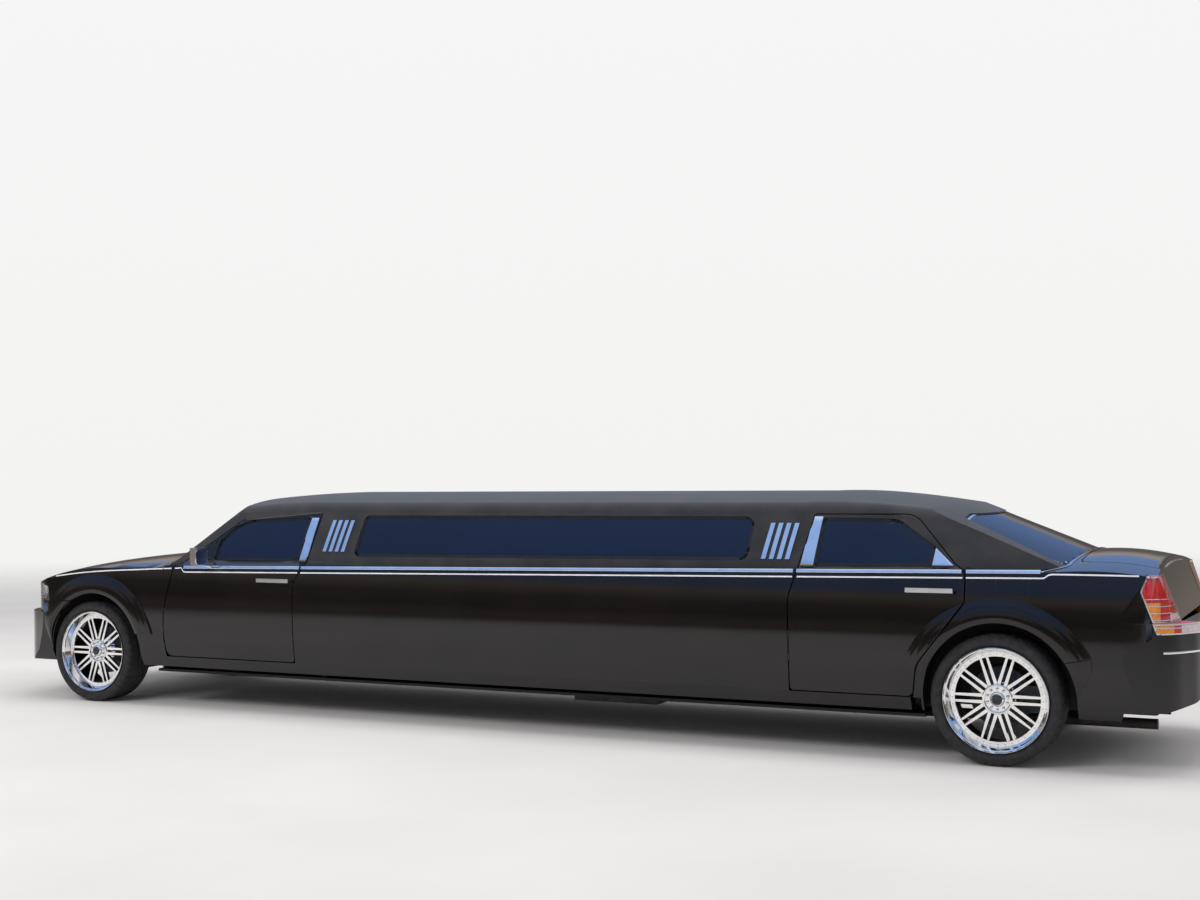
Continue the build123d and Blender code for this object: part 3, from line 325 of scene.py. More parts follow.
def dressNode(nodeName, angle=32, flat=0.08):
    piece = copyPiece(nodes[nodeName], nodeName + "_skin")
    editAll(piece)
    bpy.ops.mesh.remove_doubles(threshold=0.00002)
    if flat:
        bpy.ops.mesh.dissolve_limited(angle_limit=math.radians(flat))
    leaveEdit()
    smooth(piece, angle)
    modify(piece, "WEIGHTED_NORMAL", keep_sharp=True)
    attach(piece, nodes[nodeName]["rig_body"])
    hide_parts(nodeName)
    return piece


# The sides' section, across and up: an arc runs from the doors' lower edge (skirt) to the shoulder
sideCurve = {"sill": (0.869, 0.285), "skirt": (0.904, 0.360), "waist": (0.929, 0.620), "shoulder": (0.905, 0.960),
             "belt": (0.885, 1.0472)}


def arcCentre(a, b, c):
    (ax, ay), (bx, by), (cx, cy) = a, b, c
    spin = 2 * (ax * (by - cy) + bx * (cy - ay) + cx * (ay - by))
    return (((ax * ax + ay * ay) * (by - cy) + (bx * bx + by * by) * (cy - ay) + (cx * cx + cy * cy) * (ay - by)) / spin,
            ((ax * ax + ay * ay) * (cx - bx) + (bx * bx + by * by) * (ax - cx) + (cx * cx + cy * cy) * (bx - ax)) / spin)


sideCentre = arcCentre(sideCurve["skirt"], sideCurve["waist"], sideCurve["shoulder"])
sideRadius = math.hypot(sideCurve["waist"][0] - sideCentre[0], sideCurve["waist"][1] - sideCentre[1])


def sideNormal(place):      # the section's own slope at a point that lies on it, or on the flare 12 mm outside it
    across = abs(place.y)
    if place.z <= sideCurve["skirt"][1]:
        (ya, za), (yb, zb) = sideCurve["sill"], sideCurve["skirt"]
    elif place.z >= sideCurve["shoulder"][1]:
        (ya, za), (yb, zb) = sideCurve["shoulder"], sideCurve["belt"]
    else:
        for swell in (0.0, 0.012):
            off = math.hypot(across - swell - sideCentre[0], place.z - sideCentre[1]) - sideRadius
            if abs(off) < 0.0012:
                slope = Vector((0, across - swell - sideCentre[0], place.z - sideCentre[1])).normalized()
                return Vector((0, slope.y if place.y > 0 else -slope.y, slope.z))
        return None
    reach = ya + (yb - ya) * (place.z - za) / (zb - za)
    if abs(across - reach) > 0.0015:
        return None
    slope = Vector((0, zb - za, ya - yb)).normalized()
    return Vector((0, slope.y if place.y > 0 else -slope.y, slope.z))


def turnCorners(mesh, faces, normalAt):     # new normals for the corners of some faces, where one is found
    turned = [Vector(corner.vector) for corner in mesh.corner_normals]
    for face in faces:
        for corner in face.loop_indices:
            turned[corner] = normalAt(face, mesh.vertices[mesh.loops[corner].vertex_index]) or turned[corner]
    mesh.normals_split_custom_set(turned)


def evenSides(piece, turning=1.0):      # long thin facets would streak the reflections of the sides
    def sectionNormal(face, point):
        true = sideNormal(point.co)
        return true if true and true.dot(face.normal) > 0.9 else None

    sideFaces = [face for face in piece.data.polygons if abs(face.normal.y) > 0.8 and abs(face.normal.x) < turning]
    turnCorners(piece.data, sideFaces, sectionNormal)


def evenPlan(piece):        # upright faces share one level normal at each place on the plan, led by the longest flat
    def spotOf(point):
        return round(point.co.x, 3), round(point.co.y, 3)

    def levelNormal(face, point):
        near = [(normal, span) for normal, span in meeting[spotOf(point)] if normal.dot(face.normal) > 0.9]
        longest = max(span for normal, span in near)
        level = sum((normal for normal, span in near if longest <= 0.08 or span > 0.5 * longest), Vector())
        return Vector((level.x, level.y, 0)).normalized()

    mesh = piece.data
    upright = [face for face in mesh.polygons if abs(face.normal.z) < 0.004 and abs(face.center.x) > 3.9]
    meeting = {}
    for face in upright:
        points = [mesh.vertices[v] for v in face.vertices]
        span = max((a.co.xy - b.co.xy).length for a in points for b in points)
        for point in points:
            meeting.setdefault(spotOf(point), []).append((face.normal.copy(), span))
    turnCorners(mesh, upright, levelNormal)


def evenTop(piece, level):      # upward faces share the normal of the larger faces at each point
    def sharedNormal(face, point):
        near = meeting[point.index]
        return sum((normal * area for normal, area in near if normal.dot(face.normal) > 0.8), Vector()).normalized()

    upward = [face for face in piece.data.polygons if face.normal.z > level]
    meeting = {}
    for face in upward:
        for v in face.vertices:
            meeting.setdefault(v, []).append((face.normal.copy(), face.area))
    turnCorners(piece.data, upward, sharedNormal)


sides = ("left", "right")
panelNodes = ["side_panels", "front_fenders", "rear_quarters", "front_bumper", "rear_bumper", "hood", "trunk_lid",
              "roof_shell", "grille"]
panelNodes += [f"door_{end}_{side}" for end in ("front", "rear") for side in sides]
panelNodes += [f"trim_{end}_{side}" for end in ("front", "rear") for side in sides]
roundNodes = ("hood", "trunk_lid")
skins = {nodeName: dressNode(nodeName, flat=0.6 if nodeName in roundNodes else 0.08) for nodeName in panelNodes}
glassNodes = ["windshield", "rear_window", "side_windows", "opera_bars"]
glassNodes += [f"glass_{end}_{side}" for end in ("front", "rear") for side in sides]
for nodeName in glassNodes:
    skins[nodeName] = dressNode(nodeName)
roofLine = {"x": -2.5, "z": 1.092, "rake": 0.0134, "inner": 0.55}
for side in sides:      # above this line the rear door's window frame is covered like the roof
    frameSkin = skins[f"door_rear_{side}"]
    cutPlane(frameSkin, (roofLine["x"], 0, roofLine["z"]), (roofLine["rake"], 0, 1))
    coverFaces(frameSkin, roofVinyl, lambda m, n: abs(m.y) > roofLine["inner"]
               and m.z > roofLine["z"] - roofLine["rake"] * (m.x - roofLine["x"]))
for nodeName in panelNodes:
    if nodeName.startswith(("side_panels", "front_fenders", "rear_quarters", "door_")):
        evenSides(skins[nodeName])
for nodeName in ("front_bumper", "rear_bumper"):
    evenSides(skins[nodeName], turning=0.02)
    evenPlan(skins[nodeName])
evenTop(skins["roof_shell"], 0.3)
for nodeName in ("dashboard", "steering_wheel"):
    skins[nodeName] = dressNode(nodeName, angle=48, flat=0)
mirrorHousing = {"from": 2.2, "round": 0.008, "sharp": 40}
for side in sides:
    housing = skins[f"trim_front_{side}"]
    editPoints(housing, lambda p: p.x < mirrorHousing["from"])
    bpy.ops.mesh.hide()
    bpy.context.tool_settings.mesh_select_mode = (False, True, False)
    bpy.ops.mesh.select_all(action="DESELECT")
    bpy.ops.mesh.edges_select_sharp(sharpness=math.radians(mirrorHousing["sharp"]))
    bpy.ops.mesh.bevel(offset=mirrorHousing["round"], segments=3, clamp_overlap=True)
    bpy.ops.mesh.reveal(select=False)
    leaveEdit()
    smooth(housing, mirrorHousing["sharp"])
for nodeName in panelNodes:         # lined inside the cabin, like the roof, and inside the front wheel houses
    if nodeName.startswith(("side_panels", "door_")):
        coverFaces(skins[nodeName], cabinTrim, lambda m, n: n.y * m.y < -0.3 * abs(m.y))
coverFaces(skins["front_fenders"], underCoat, lambda m, n: abs(m.y) < 0.885 and m.z < 0.86 and 2.88 < m.x < 3.87)
coverFaces(skins["roof_shell"], headLining, lambda m, n: m.x > -3.0 and (
    n.z < -0.4 or n.y * m.y < -0.3 * abs(m.y) and abs(m.y) > 0.4))
print("stage: panels dressed")

# Small makers that the trims below share; a body's name has {} where the side goes, looks are material and slot
fixedBody = "car_body"
frontDoor = "front_{}_door"
rearDoor = "rear_{}_door"
chromeLooks = (brightChrome, "chrome_trim")
sealLooks = (blackRubber, "tyre_rubber")


def sweep(section, path, lengthwise=True):      # a closed bar, its section drawn along the car or across it
    bar = addMesh(bpy.ops.mesh.primitive_circle_add, vertices=len(section), radius=0.01, fill_type="NGON",
                  location=path[0], rotation=(0, math.radians(90), 0) if lengthwise else (math.radians(90), 0, 0))
    for point, (out, up) in zip(bar.data.vertices, section):
        point.co = Vector(path[0]) + Vector((0, out, up) if lengthwise else (out, 0, up))
    editAll(bar)
    for here, there in zip(path, path[1:]):
        bpy.ops.mesh.extrude_region_move(TRANSFORM_OT_translate={"value": Vector(there) - Vector(here)})
    bpy.ops.mesh.select_all(action="SELECT")
    bpy.ops.mesh.normals_make_consistent(inside=False)
    leaveEdit()
    return bar


def ribbon(path, height):       # an upright sheet beside the car, along points of x and z
    x, z = path[0]
    sheet = addMesh(bpy.ops.mesh.primitive_plane_add, size=height, location=(x - height / 2, 1.3, z),
                    rotation=(math.radians(90), 0, 0))
    editPoints(sheet, lambda p: p.x < x - height / 2)
    bpy.ops.mesh.delete(type="VERT")
    bpy.ops.mesh.select_all(action="SELECT")
    for (xa, za), (xb, zb) in zip(path, path[1:]):
        bpy.ops.mesh.extrude_region_move(TRANSFORM_OT_translate={"value": (xb - xa, 0, zb - za)})
    leaveEdit()
    return sheet


def fourCorners(corners, cuts, y=1.3):      # an upright sheet beside the car between four points of x and z
    sheet = addMesh(bpy.ops.mesh.primitive_plane_add, size=0.1, location=(corners[0][0], y, corners[0][1]),
                    rotation=(math.radians(90), 0, 0))
    for place, point in zip((0, 1, 3, 2), sheet.data.vertices):     # a plane's points run in rows, the corners go round
        point.co = (corners[place][0], y, corners[place][1])
    divide(sheet, cuts)
    return sheet


def panelUnder(*names):     # one joined copy of the panels that a trim lies on
    copies = [copyPiece(nodes[n], "under") for n in names]
    return joinPieces(*copies) if len(copies) > 1 else copies[0]


def pressOn(sheet, names, gap):     # presses an upright sheet sideways onto panels; what misses them goes
    target = panelUnder(*names)
    modify(sheet, "SHRINKWRAP", target=target, wrap_method="PROJECT", use_project_x=False, use_project_y=True,
           use_project_z=False, use_negative_direction=True, use_positive_direction=False, offset=gap)
    bpy.data.objects.remove(target)
    dropPoints(sheet, lambda p: p.y > 1.15)


def thicken(sheet, outward, thick, bevel):      # gives a laid sheet its thickness on the outer side
    if sum(face.normal.dot(Vector(outward)) * face.area for face in sheet.data.polygons) < 0:
        sheet.data.flip_normals()
    modify(sheet, "SOLIDIFY", thickness=thick, offset=1.0)
    if bevel:
        modify(sheet, "BEVEL", width=bevel, segments=2, limit_method="ANGLE")
    return sheet


def layOn(sheet, names, thick, gap=0.0004, bevel=0.0):
    pressOn(sheet, names, gap)
    editAll(sheet)
    bpy.ops.mesh.normals_make_consistent(inside=False)
    leaveEdit()
    return thicken(sheet, (0, 1, 0), thick, bevel)


def surfaceStrip(path, across, names, thick, outward, bevel=0.0008):    # a strip along points in space, laid on panels
    sheet = addMesh(bpy.ops.mesh.primitive_grid_add, x_subdivisions=len(path) - 1, y_subdivisions=1, size=1,
                    location=(0.5, 0.5, 0))
    for point in sheet.data.vertices:
        share = point.co.y - 0.5
        point.co = Vector(path[round(point.co.x * (len(path) - 1))]) + Vector(across) * share
    divide(sheet, 2)
    target = panelUnder(*names)
    modify(sheet, "SHRINKWRAP", target=target, wrap_method="NEAREST_SURFACEPOINT", wrap_mode="OUTSIDE_SURFACE",
           offset=0.0004)
    bpy.data.objects.remove(target)
    return thicken(sheet, outward, thick, bevel)


def roundTile(place, size, rounding, insets):       # an upright tile, its corners rounded and its rear face inset
    tile = addMesh(bpy.ops.mesh.primitive_cube_add, size=1, location=place, scale=size)
    editEdges(tile, lambda a, b: abs(a.x - b.x) > 0.001)
    bpy.ops.mesh.bevel(offset=rounding, segments=5)
    leaveEdit()
    editFaces(tile, lambda m, n: n.x < -0.9)
    for wide, deep in insets:
        bpy.ops.mesh.inset(thickness=wide, depth=deep)
    leaveEdit()
    return tile


def bothSides(piece, name, body, material, slotName, angle=30):     # the finished left piece and its mirrored twin
    twin = copyPiece(piece, f"{name}_right", flip=True)
    finishPiece(piece, f"{name}_left", body.format("left"), material, slotName, angle)
    finishPiece(twin, f"{name}_right", body.format("right"), material, slotName, angle)


def spread(start, end, count):
    return [start + (end - start) * k / count for k in range(count + 1)]


def beltZ(x):
    return 1.012 + 0.0134 * (2.627 - x)


# Belt moulding under the glass, one length on each panel
belt = {"section": ((0.010, -0.021), (0.012, -0.018), (0.006, -0.001), (-0.006, 0.001), (-0.014, -0.004), (-0.010, -0.021)),
        "depth": 0.8955, "rake": 0.0030, "drop": 0.001, "round": 0.0015}
beltRuns = [("front_door", 1.552, 2.560, frontDoor), ("long_panel", -2.004, 1.536, fixedBody),
            ("rear_door", -2.996, -2.024, rearDoor), ("quarter", -3.430, -3.020, fixedBody)]
for runName, start, end, body in beltRuns:
    path = [(x, belt["depth"] - belt["rake"] * (2.6 - x), beltZ(x) - belt["drop"]) for x in spread(start, end, 8)]
    bar = sweep(belt["section"], path)
    modify(bar, "BEVEL", width=belt["round"], segments=2, limit_method="ANGLE", angle_limit=math.radians(25))
    bothSides(bar, f"belt_{runName}", body, *chromeLooks)
print("stage: belt mouldings laid")

# Painted line below the moulding, which steps up behind the rear door and follows the fender in front
line = {"below": 0.047, "height": 0.0085, "thick": 0.0006}


def underBelt(start, end, count):
    return [(x, beltZ(x) - line["below"]) for x in spread(start, end, count)]


lineRuns = [
    ("front_door", underBelt(1.566, 2.540, 8), "door_front_left", frontDoor),
    ("front_door_step", [(2.540, beltZ(2.54) - line["below"]), (2.560, beltZ(2.54) - 0.044), (2.588, 0.996),
                         (2.610, 0.9925), (2.642, 0.9915)], "door_front_left", frontDoor),
    ("fender", [(2.674, 0.9900), (2.76, 0.9862), (2.86, 0.9822), (2.997, 0.9750), (3.12, 0.9700), (3.25, 0.9635),
                (3.392, 0.9540), (3.52, 0.9435), (3.64, 0.9300), (3.762, 0.9140), (3.83, 0.9035)],
     "front_fenders", fixedBody),
    ("long_panel", underBelt(-1.998, 1.540, 20), "side_panels", fixedBody),
    ("rear_door", underBelt(-3.000, -2.027, 8), "door_rear_left", rearDoor),
    ("quarter", underBelt(-3.435, -3.020, 6)
     + [(-3.448, 1.0480), (-3.470, 1.0640), (-3.490, 1.0685), (-3.60, 1.0690), (-3.80, 1.0690), (-3.944, 1.0680)],
     "rear_quarters", fixedBody),
]
for runName, path, nodeName, body in lineRuns:
    sheet = layOn(ribbon(sorted(path), line["height"]), [nodeName], line["thick"])
    bothSides(sheet, f"line_{runName}", body, whiteStripe, "chrome_trim")
print("stage: painted lines laid")

# Bright plates behind the front glass and in front of the rear glass, each with its corners, panel and body
plates = {
    "front_plate": ([(1.592, 1.056), (1.520, 1.056), (1.478, 1.352), (1.538, 1.352)], "door_front_left", frontDoor),
    "rear_plate": ([(-2.034, 1.090), (-2.112, 1.090), (-2.150, 1.376), (-2.086, 1.376)], "door_rear_left", rearDoor),
}
for plateName, (corners, nodeName, body) in plates.items():
    sheet = layOn(fourCorners(corners, 9), [nodeName], 0.0022, bevel=0.0006)
    bothSides(sheet, plateName, body, *chromeLooks)
print("stage: bright plates laid")

# Seals and bright frames round the glass
def glassBand(nodeName, name, body, faceOut, width, proud, material, slotName, drop=None):
    band = copyPiece(nodes[nodeName], name)
    weld(band)
    editFaces(band, lambda middle, normal: not faceOut(middle, normal))
    bpy.ops.mesh.delete(type="FACE")
    bpy.ops.mesh.select_all(action="SELECT")
    bpy.ops.mesh.dissolve_limited(angle_limit=math.radians(0.3))
    bpy.ops.mesh.select_all(action="SELECT")
    bpy.ops.mesh.inset(thickness=width, depth=0.0, use_boundary=True, use_even_offset=True)
    bpy.ops.mesh.delete(type="FACE")
    leaveEdit()
    if drop:
        dropFaces(band, drop)
    modify(band, "SOLIDIFY", thickness=proud, offset=1.0)
    finishPiece(band, name, body, material, slotName)


glassSeal = {"door": (0.016, 0.0030), "side": (0.018, 0.0030), "screen": (0.022, 0.0025), "rear": (0.015, 0.0040)}
for end in ("front", "rear"):
    for side, turn in zip(sides, (1, -1)):
        glassBand(f"glass_{end}_{side}", f"seal_{end}_{side}", f"{end}_{side}_door", lambda m, n: n.y * turn > 0.5,
                  *glassSeal["door"], *sealLooks)
glassBand("side_windows", "seal_side_windows", fixedBody, lambda m, n: n.y * m.y > 0.4, *glassSeal["side"], *sealLooks)
glassBand("windshield", "seal_windshield", fixedBody, lambda m, n: n.x > 0.2, *glassSeal["screen"], *sealLooks)
glassBand("rear_window", "frame_rear_window", fixedBody, lambda m, n: n.x < -0.15 and n.z > 0, *glassSeal["rear"],
          *chromeLooks, drop=lambda m, n: m.x < -3.53 and abs(m.y) < 0.66)
print("stage: glass seals and frames laid")

# Tyres, spun from their section, with grooves round the tread and blocks pressed into its outer ribs
tyre = {"plane": 0.785, "segments": 90, "sipe": (0.0028, 0.004), "tread": 0.361, "ribs": (0.055, 0.110), "pitch": 8,
        "flank": 0.75}
tyreSection = [(-0.1045, 0.2797), (-0.1045, 0.297), (-0.116, 0.306), (-0.1265, 0.320), (-0.1275, 0.330), (-0.1225, 0.344),
               (-0.1195, 0.350), (-0.1115, 0.3585), (-0.100, 0.3645), (-0.083, 0.3650), (-0.062, 0.3655)]
treadRibs = [(-0.062, 0.3655), (-0.060, 0.3590), (-0.053, 0.3590), (-0.051, 0.3657), (-0.024, 0.3659), (-0.022, 0.3590),
             (-0.014, 0.3590), (-0.012, 0.3660)]
halfSection = tyreSection + treadRibs[1:]
axle = (-3.1765, 0.366)
wheelSpots = [(end, side, x) for end, x in (("front", 3.4275), ("rear", axle[0])) for side in sides]


def spinSection(points, axle, plane, steps):    # points of (distance along the axle, radius), turned about the axle
    start = (axle[0], plane + points[0][0], axle[1] + points[0][1])
    piece = addMesh(bpy.ops.mesh.primitive_plane_add, size=0.01, location=start)
    dropPoints(piece, lambda p: p.x > start[0] or p.y > start[1])
    piece.data.vertices[0].co = start
    editAll(piece)
    for (ya, ra), (yb, rb) in zip(points, points[1:]):
        bpy.ops.mesh.extrude_vertices_move(TRANSFORM_OT_translate={"value": (0, yb - ya, rb - ra)})
    bpy.ops.mesh.select_all(action="SELECT")
    bpy.ops.mesh.spin(steps=steps, angle=math.radians(360), center=(axle[0], plane, axle[1]), axis=(0, 1, 0))
    bpy.ops.mesh.select_all(action="SELECT")
    bpy.ops.mesh.remove_doubles(threshold=0.00005)
    bpy.ops.mesh.normals_make_consistent(inside=False)
    leaveEdit()
    return piece


axle = (-3.1765, 0.366)
fullSection = halfSection + [(-y, r) for y, r in reversed(halfSection)]
fullSection += [(0.092, 0.2797), (0.112, 0.342), (-0.112, 0.342), (-0.092, 0.2797), (-0.1045, 0.2797)]
tyreBody = spinSection(fullSection, axle, tyre["plane"], tyre["segments"])


def onTread(middle, normal):    # half of each pitch on the two outer ribs
    away = math.hypot(middle.x - axle[0], middle.z - axle[1])
    turnAt = math.degrees(math.atan2(middle.z - axle[1], middle.x - axle[0])) % tyre["pitch"]
    inner, outer = tyre["ribs"]
    return (away > tyre["tread"] and inner < abs(middle.y - tyre["plane"]) < outer and turnAt < tyre["pitch"] / 2
            and abs(normal.y) < tyre["flank"])


def onWheel(part, name, end, side, x, material, slotName):      # a copy of a part of the rear left wheel on one wheel
    twin = copyPiece(part, "part", move=(x - axle[0], 0, 0), flip=side == "right")
    return finishPiece(twin, f"{name}_{end}_{side}", f"{end}_{side}_wheel", material, slotName, 35)


editFaces(tyreBody, onTread)
bpy.ops.mesh.inset(thickness=tyre["sipe"][0], depth=-tyre["sipe"][1], use_individual=True)
leaveEdit()
tidyMesh(tyreBody)
for end, side, x in wheelSpots:
    twin = onWheel(tyreBody, "tread", end, side, x, tyreRubber, "tyre_rubber")
    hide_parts(f"tyre_{end}_{side}")
bpy.data.objects.remove(tyreBody)
print("stage: tyres spun")

# Bright wheels: rivets round the lip, nuts, a collar and a bare cap on the hub, each ring as steps and a section
rivet = {"count": 40, "ring": 0.2515, "radius": 0.0042}
lugNut = {"count": 10, "ring": 0.058, "steps": 12,
          "section": [(0.0, 0.0001), (0.0, 0.0085), (0.010, 0.0080), (0.0135, 0.0055), (0.0145, 0.0001)]}
faceY = 0.844
hub = {
    "collar": (48, [(-0.002, 0.0001), (-0.002, 0.043), (0.006, 0.042), (0.013, 0.036), (0.016, 0.031), (0.012, 0.029),
                    (0.012, 0.0001)]),
    "cap": (40, [(0.012, 0.0001), (0.012, 0.0285), (0.0155, 0.027), (0.0185, 0.021), (0.020, 0.012), (0.0205, 0.0001)]),
    "ring": (64, [(-0.001, 0.070), (-0.001, 0.083), (0.003, 0.0825), (0.0045, 0.079), (0.0035, 0.0735), (0.0015, 0.070)]),
    "lip": (96, [(0.0005, 0.2385), (0.0008, 0.2622), (0.0594, 0.2906), (0.0590, 0.2926), (0.0555, 0.2940),
                 (0.0480, 0.2802)]),
}


def ringOf(one, count, first=0.0):      # joined copies round the axle, in place of the one
    twins = []
    for k in range(count):
        twins.append(copyPiece(one, "twin"))
        angle = math.radians(360) * (k + first) / count
        twins[-1].data.transform(Matrix.Translation((axle[0], 0, axle[1])) @ Matrix.Rotation(-angle, 4, "Y")
                                 @ Matrix.Translation((-axle[0], 0, -axle[1])))
    bpy.data.objects.remove(one)
    return joinPieces(*twins)


oneRivet = addMesh(bpy.ops.mesh.primitive_uv_sphere_add, segments=10, ring_count=6, radius=rivet["radius"],
                   location=(axle[0] + rivet["ring"], faceY, axle[1]), rotation=(math.radians(90), 0, 0))
dropPoints(oneRivet, lambda p: p.y < faceY - 0.0002)
rivetRing = ringOf(oneRivet, rivet["count"])
oneNut = spinSection(lugNut["section"], (axle[0] + lugNut["ring"], axle[1]), faceY - 0.001, lugNut["steps"])
nutRing = ringOf(oneNut, lugNut["count"], 0.5)
collar, capDome, hubRing, lipRing = (spinSection(points, axle, faceY, steps) for steps, points in hub.values())
brightParts = joinPieces(rivetRing, nutRing, collar, hubRing, lipRing)
tidyMesh(brightParts)
tidyMesh(capDome)
for end, side, x in wheelSpots:
    onWheel(brightParts, "wheel_fittings", end, side, x, wheelChrome, "wheel_chrome")
    onWheel(capDome, "wheel_cap", end, side, x, dashPlastic, "dash_plastic")
bpy.data.objects.remove(brightParts)
bpy.data.objects.remove(capDome)
brake = {"disc": (0.7505, 0.1735), "barrel": (0.800, 0.235)}        # distance from the middle of the car, radius


def discOrShadedBarrel(middle, out):       # the brake disc, in its own dark steel, and the barrel behind the spokes, painted dark as shade in the gaps
    ring = math.hypot(middle.x - x, middle.z - axle[1])
    return out < brake["disc"][0] and ring < brake["disc"][1] or out < brake["barrel"][0] and ring > brake["barrel"][1]


# discs keep their own dark steel; the barrels behind the spokes get it as painted shade
for end, side, x in wheelSpots:
    coverFaces(dressNode(f"wheel_{end}_{side}", angle=28, flat=0), brakeAndBarrelShade, lambda m, n: discOrShadedBarrel(m, abs(m.y)))
print("stage: wheels finished")

# Wheel houses over the rear tyres, each half a drum with its inner side closed above the axle
archSpots = {"front": (3.3825, 0.372), "rear": (-3.1965, 0.372)}
house = {"radius": 0.455, "wall": 0.6465, "outer": 0.892, "lowOuter": 0.858, "low": 0.300, "axleLow": 0.480,
         "axleX": -0.02, "axleHalf": 0.150, "thick": 0.0012, "steps": 72}
wall = house["wall"] - tyre["plane"]
drum = spinSection([(wall, house["radius"]), (house["outer"] - tyre["plane"], house["radius"])], archSpots["rear"],
                   tyre["plane"], house["steps"])
innerWall = spinSection([(wall, 0.0001), (wall, 0.20), (wall, house["radius"])], archSpots["rear"], tyre["plane"],
                        house["steps"])
for point in drum.data.vertices:
    if point.co.y > 0.8 and point.co.z < 0.42:
        point.co.y = house["lowOuter"]
joinPieces(drum, innerWall)
cutLevel(drum, house["low"], "above")
cutLevel(drum, house["axleLow"])
for x in (-house["axleHalf"], house["axleHalf"]):
    cutPlane(drum, (archSpots["rear"][0] + house["axleX"] + x, 0, 0), (1, 0, 0))
dropFaces(drum, lambda m, n: m.z < house["axleLow"]
          and abs(m.x - archSpots["rear"][0] - house["axleX"]) < house["axleHalf"])
tidyMesh(drum)
modify(drum, "SOLIDIFY", thickness=house["thick"], offset=0.0)
bothSides(drum, "wheel_house", fixedBody, underCoat, "underbody")
print("stage: wheel houses made")

# Flares over the arches, one band on each panel that meets an arch
flare = {"inner": 0.4262, "outer": 0.5600, "high": 0.010, "step": 0.012, "floor": 0.0006, "pitch": 1.3, "across": 18,
         "crown": ((0.0, 0.40), (0.08, 0.72), (0.20, 0.97), (0.30, 1.0), (0.45, 0.90), (0.70, 0.56), (0.90, 0.18),
                   (1.0, 0.0))}


def along(points, at):      # the height of a line of points at one place
    for (xa, ya), (xb, yb) in zip(points, points[1:]):
        if at <= xb:
            share = max(0.0, (at - xa) / (xb - xa))
            return ya + (yb - ya) * share * share * (3 - 2 * share)
    return points[-1][1]

def reachOf(angle, tip):    # how far a place is from the tip of its band, and how wide the band is there
    reach = min(1.0, abs(angle - tip[0]) / tip[1])
    return reach, (flare["outer"] - flare["inner"]) * along(((0.0, 0.04), (1.0, 1.0)), reach)


def archSheet(centre, start, end, tip):     # part of a ring, narrowing to a tip at one end
    sheet = addMesh(bpy.ops.mesh.primitive_grid_add, x_subdivisions=int((end - start) / flare["pitch"]),
                    y_subdivisions=flare["across"], size=1, location=(0.5, 0.5, 0))
    for point in sheet.data.vertices:
        angle = start + (end - start) * point.co.x
        ring = flare["inner"] + reachOf(angle, tip)[1] * point.co.y
        point.co = (centre[0] + ring * math.cos(math.radians(angle)), 1.3,
                    centre[1] + ring * math.sin(math.radians(angle)))
    return sheet


def raiseSheet(sheet, centre, tip, step):       # gives a laid band its crowned outside
    editAll(sheet)
    bpy.ops.mesh.extrude_region_move(TRANSFORM_OT_translate={"value": (0, flare["floor"], 0)})
    leaveEdit()
    rise = sheet.vertex_groups.new(name="rise")
    full = flare["high"] + step
    for point in sheet.data.vertices:
        if point.select:
            away = math.hypot(point.co.x - centre[0], point.co.z - centre[1])
            reach, wide = reachOf(math.degrees(math.atan2(point.co.z - centre[1], point.co.x - centre[0])), tip)
            crown = along(flare["crown"], min(1.0, (away - flare["inner"]) / wide))
            fade = along(((0.0, 0.0), (1.0, 1.0)), min(1.0, reach * 1.6))
            rise.add([point.index], (step + flare["high"] * crown) * fade / full, "REPLACE")
    modify(sheet, "DISPLACE", direction="Y", mid_level=0.0, strength=full, vertex_group="rise")
    tidyMesh(sheet, 0.00001)


doorLines = [((-2.777, 0.6), (-2.855, 0.7)), ((-2.777, 0.6), (-2.726, 0.5))]    # where the rear door ends over the arch
bumperCut = ((-3.3965, 0.560), (-3.930, 0.668))     # where the rear bumper starts behind the arch
flareGap = {"quarter": -0.0130, "door": 0.0035, "tail": 0.0042, "bumper": -0.0035}


def shifted(lines, dx=0.0, dz=0.0):
    return [((xa + dx, za + dz), (xb + dx, zb + dz)) for (xa, za), (xb, zb) in lines]


def doorEdge(z, gap):
    return min(-2.855 - 0.78 * (z - 0.7), -2.777 - 0.51 * (z - 0.6)) + gap


def bumperLine(x, gap):
    return 0.560 + (-3.3965 - x) * 0.2024 + gap


rear = archSpots["rear"]
front = archSpots["front"]
low = 0.5165
sillCut = [((0.0, low), (1.0, low))]
noTip = (-60.0, 20.0)
# Each flare's arch, panel and body, its angles from start to end, its tip, its step, its cuts and what they drop
flareParts = {
    "flare_quarter": (rear, "rear_quarters", fixedBody, 12.0, 158.0, noTip, 0.0,
                      sillCut + shifted(doorLines, dx=flareGap["quarter"]) + shifted([bumperCut], dz=flareGap["tail"]),
                      lambda m, n: m.z < low or m.x > doorEdge(m.z, flareGap["quarter"])
                      or m.x < -3.3 and m.z < bumperLine(m.x, flareGap["tail"])),
    "flare_door": (rear, "door_rear_left", rearDoor, 10.0, 70.0, noTip, 0.0,
                   sillCut + shifted(doorLines, dx=flareGap["door"]),
                   lambda m, n: m.z < low or m.x < doorEdge(m.z, flareGap["door"])),
    "flare_rear_bumper": (rear, "rear_bumper", fixedBody, 142.0, 176.0, (178.0, 26.0), flare["step"],
                          shifted([bumperCut], dz=flareGap["bumper"]),
                          lambda m, n: m.z > bumperLine(m.x, flareGap["bumper"])),
    "flare_fender": (front, "front_fenders", fixedBody, 36.0, 168.0, noTip, 0.0,
                     sillCut + [((0.0, 0.7390), (1.0, 0.7390))],
                     lambda m, n: m.z < low or m.x > front[0] and m.z < 0.7390),
    "flare_front_bumper": (front, "front_bumper", fixedBody, 4.0, 62.0, (2.0, 36.0), flare["step"],
                           [((0.0, 0.7315), (1.0, 0.7315))], lambda m, n: m.z > 0.7315),
}
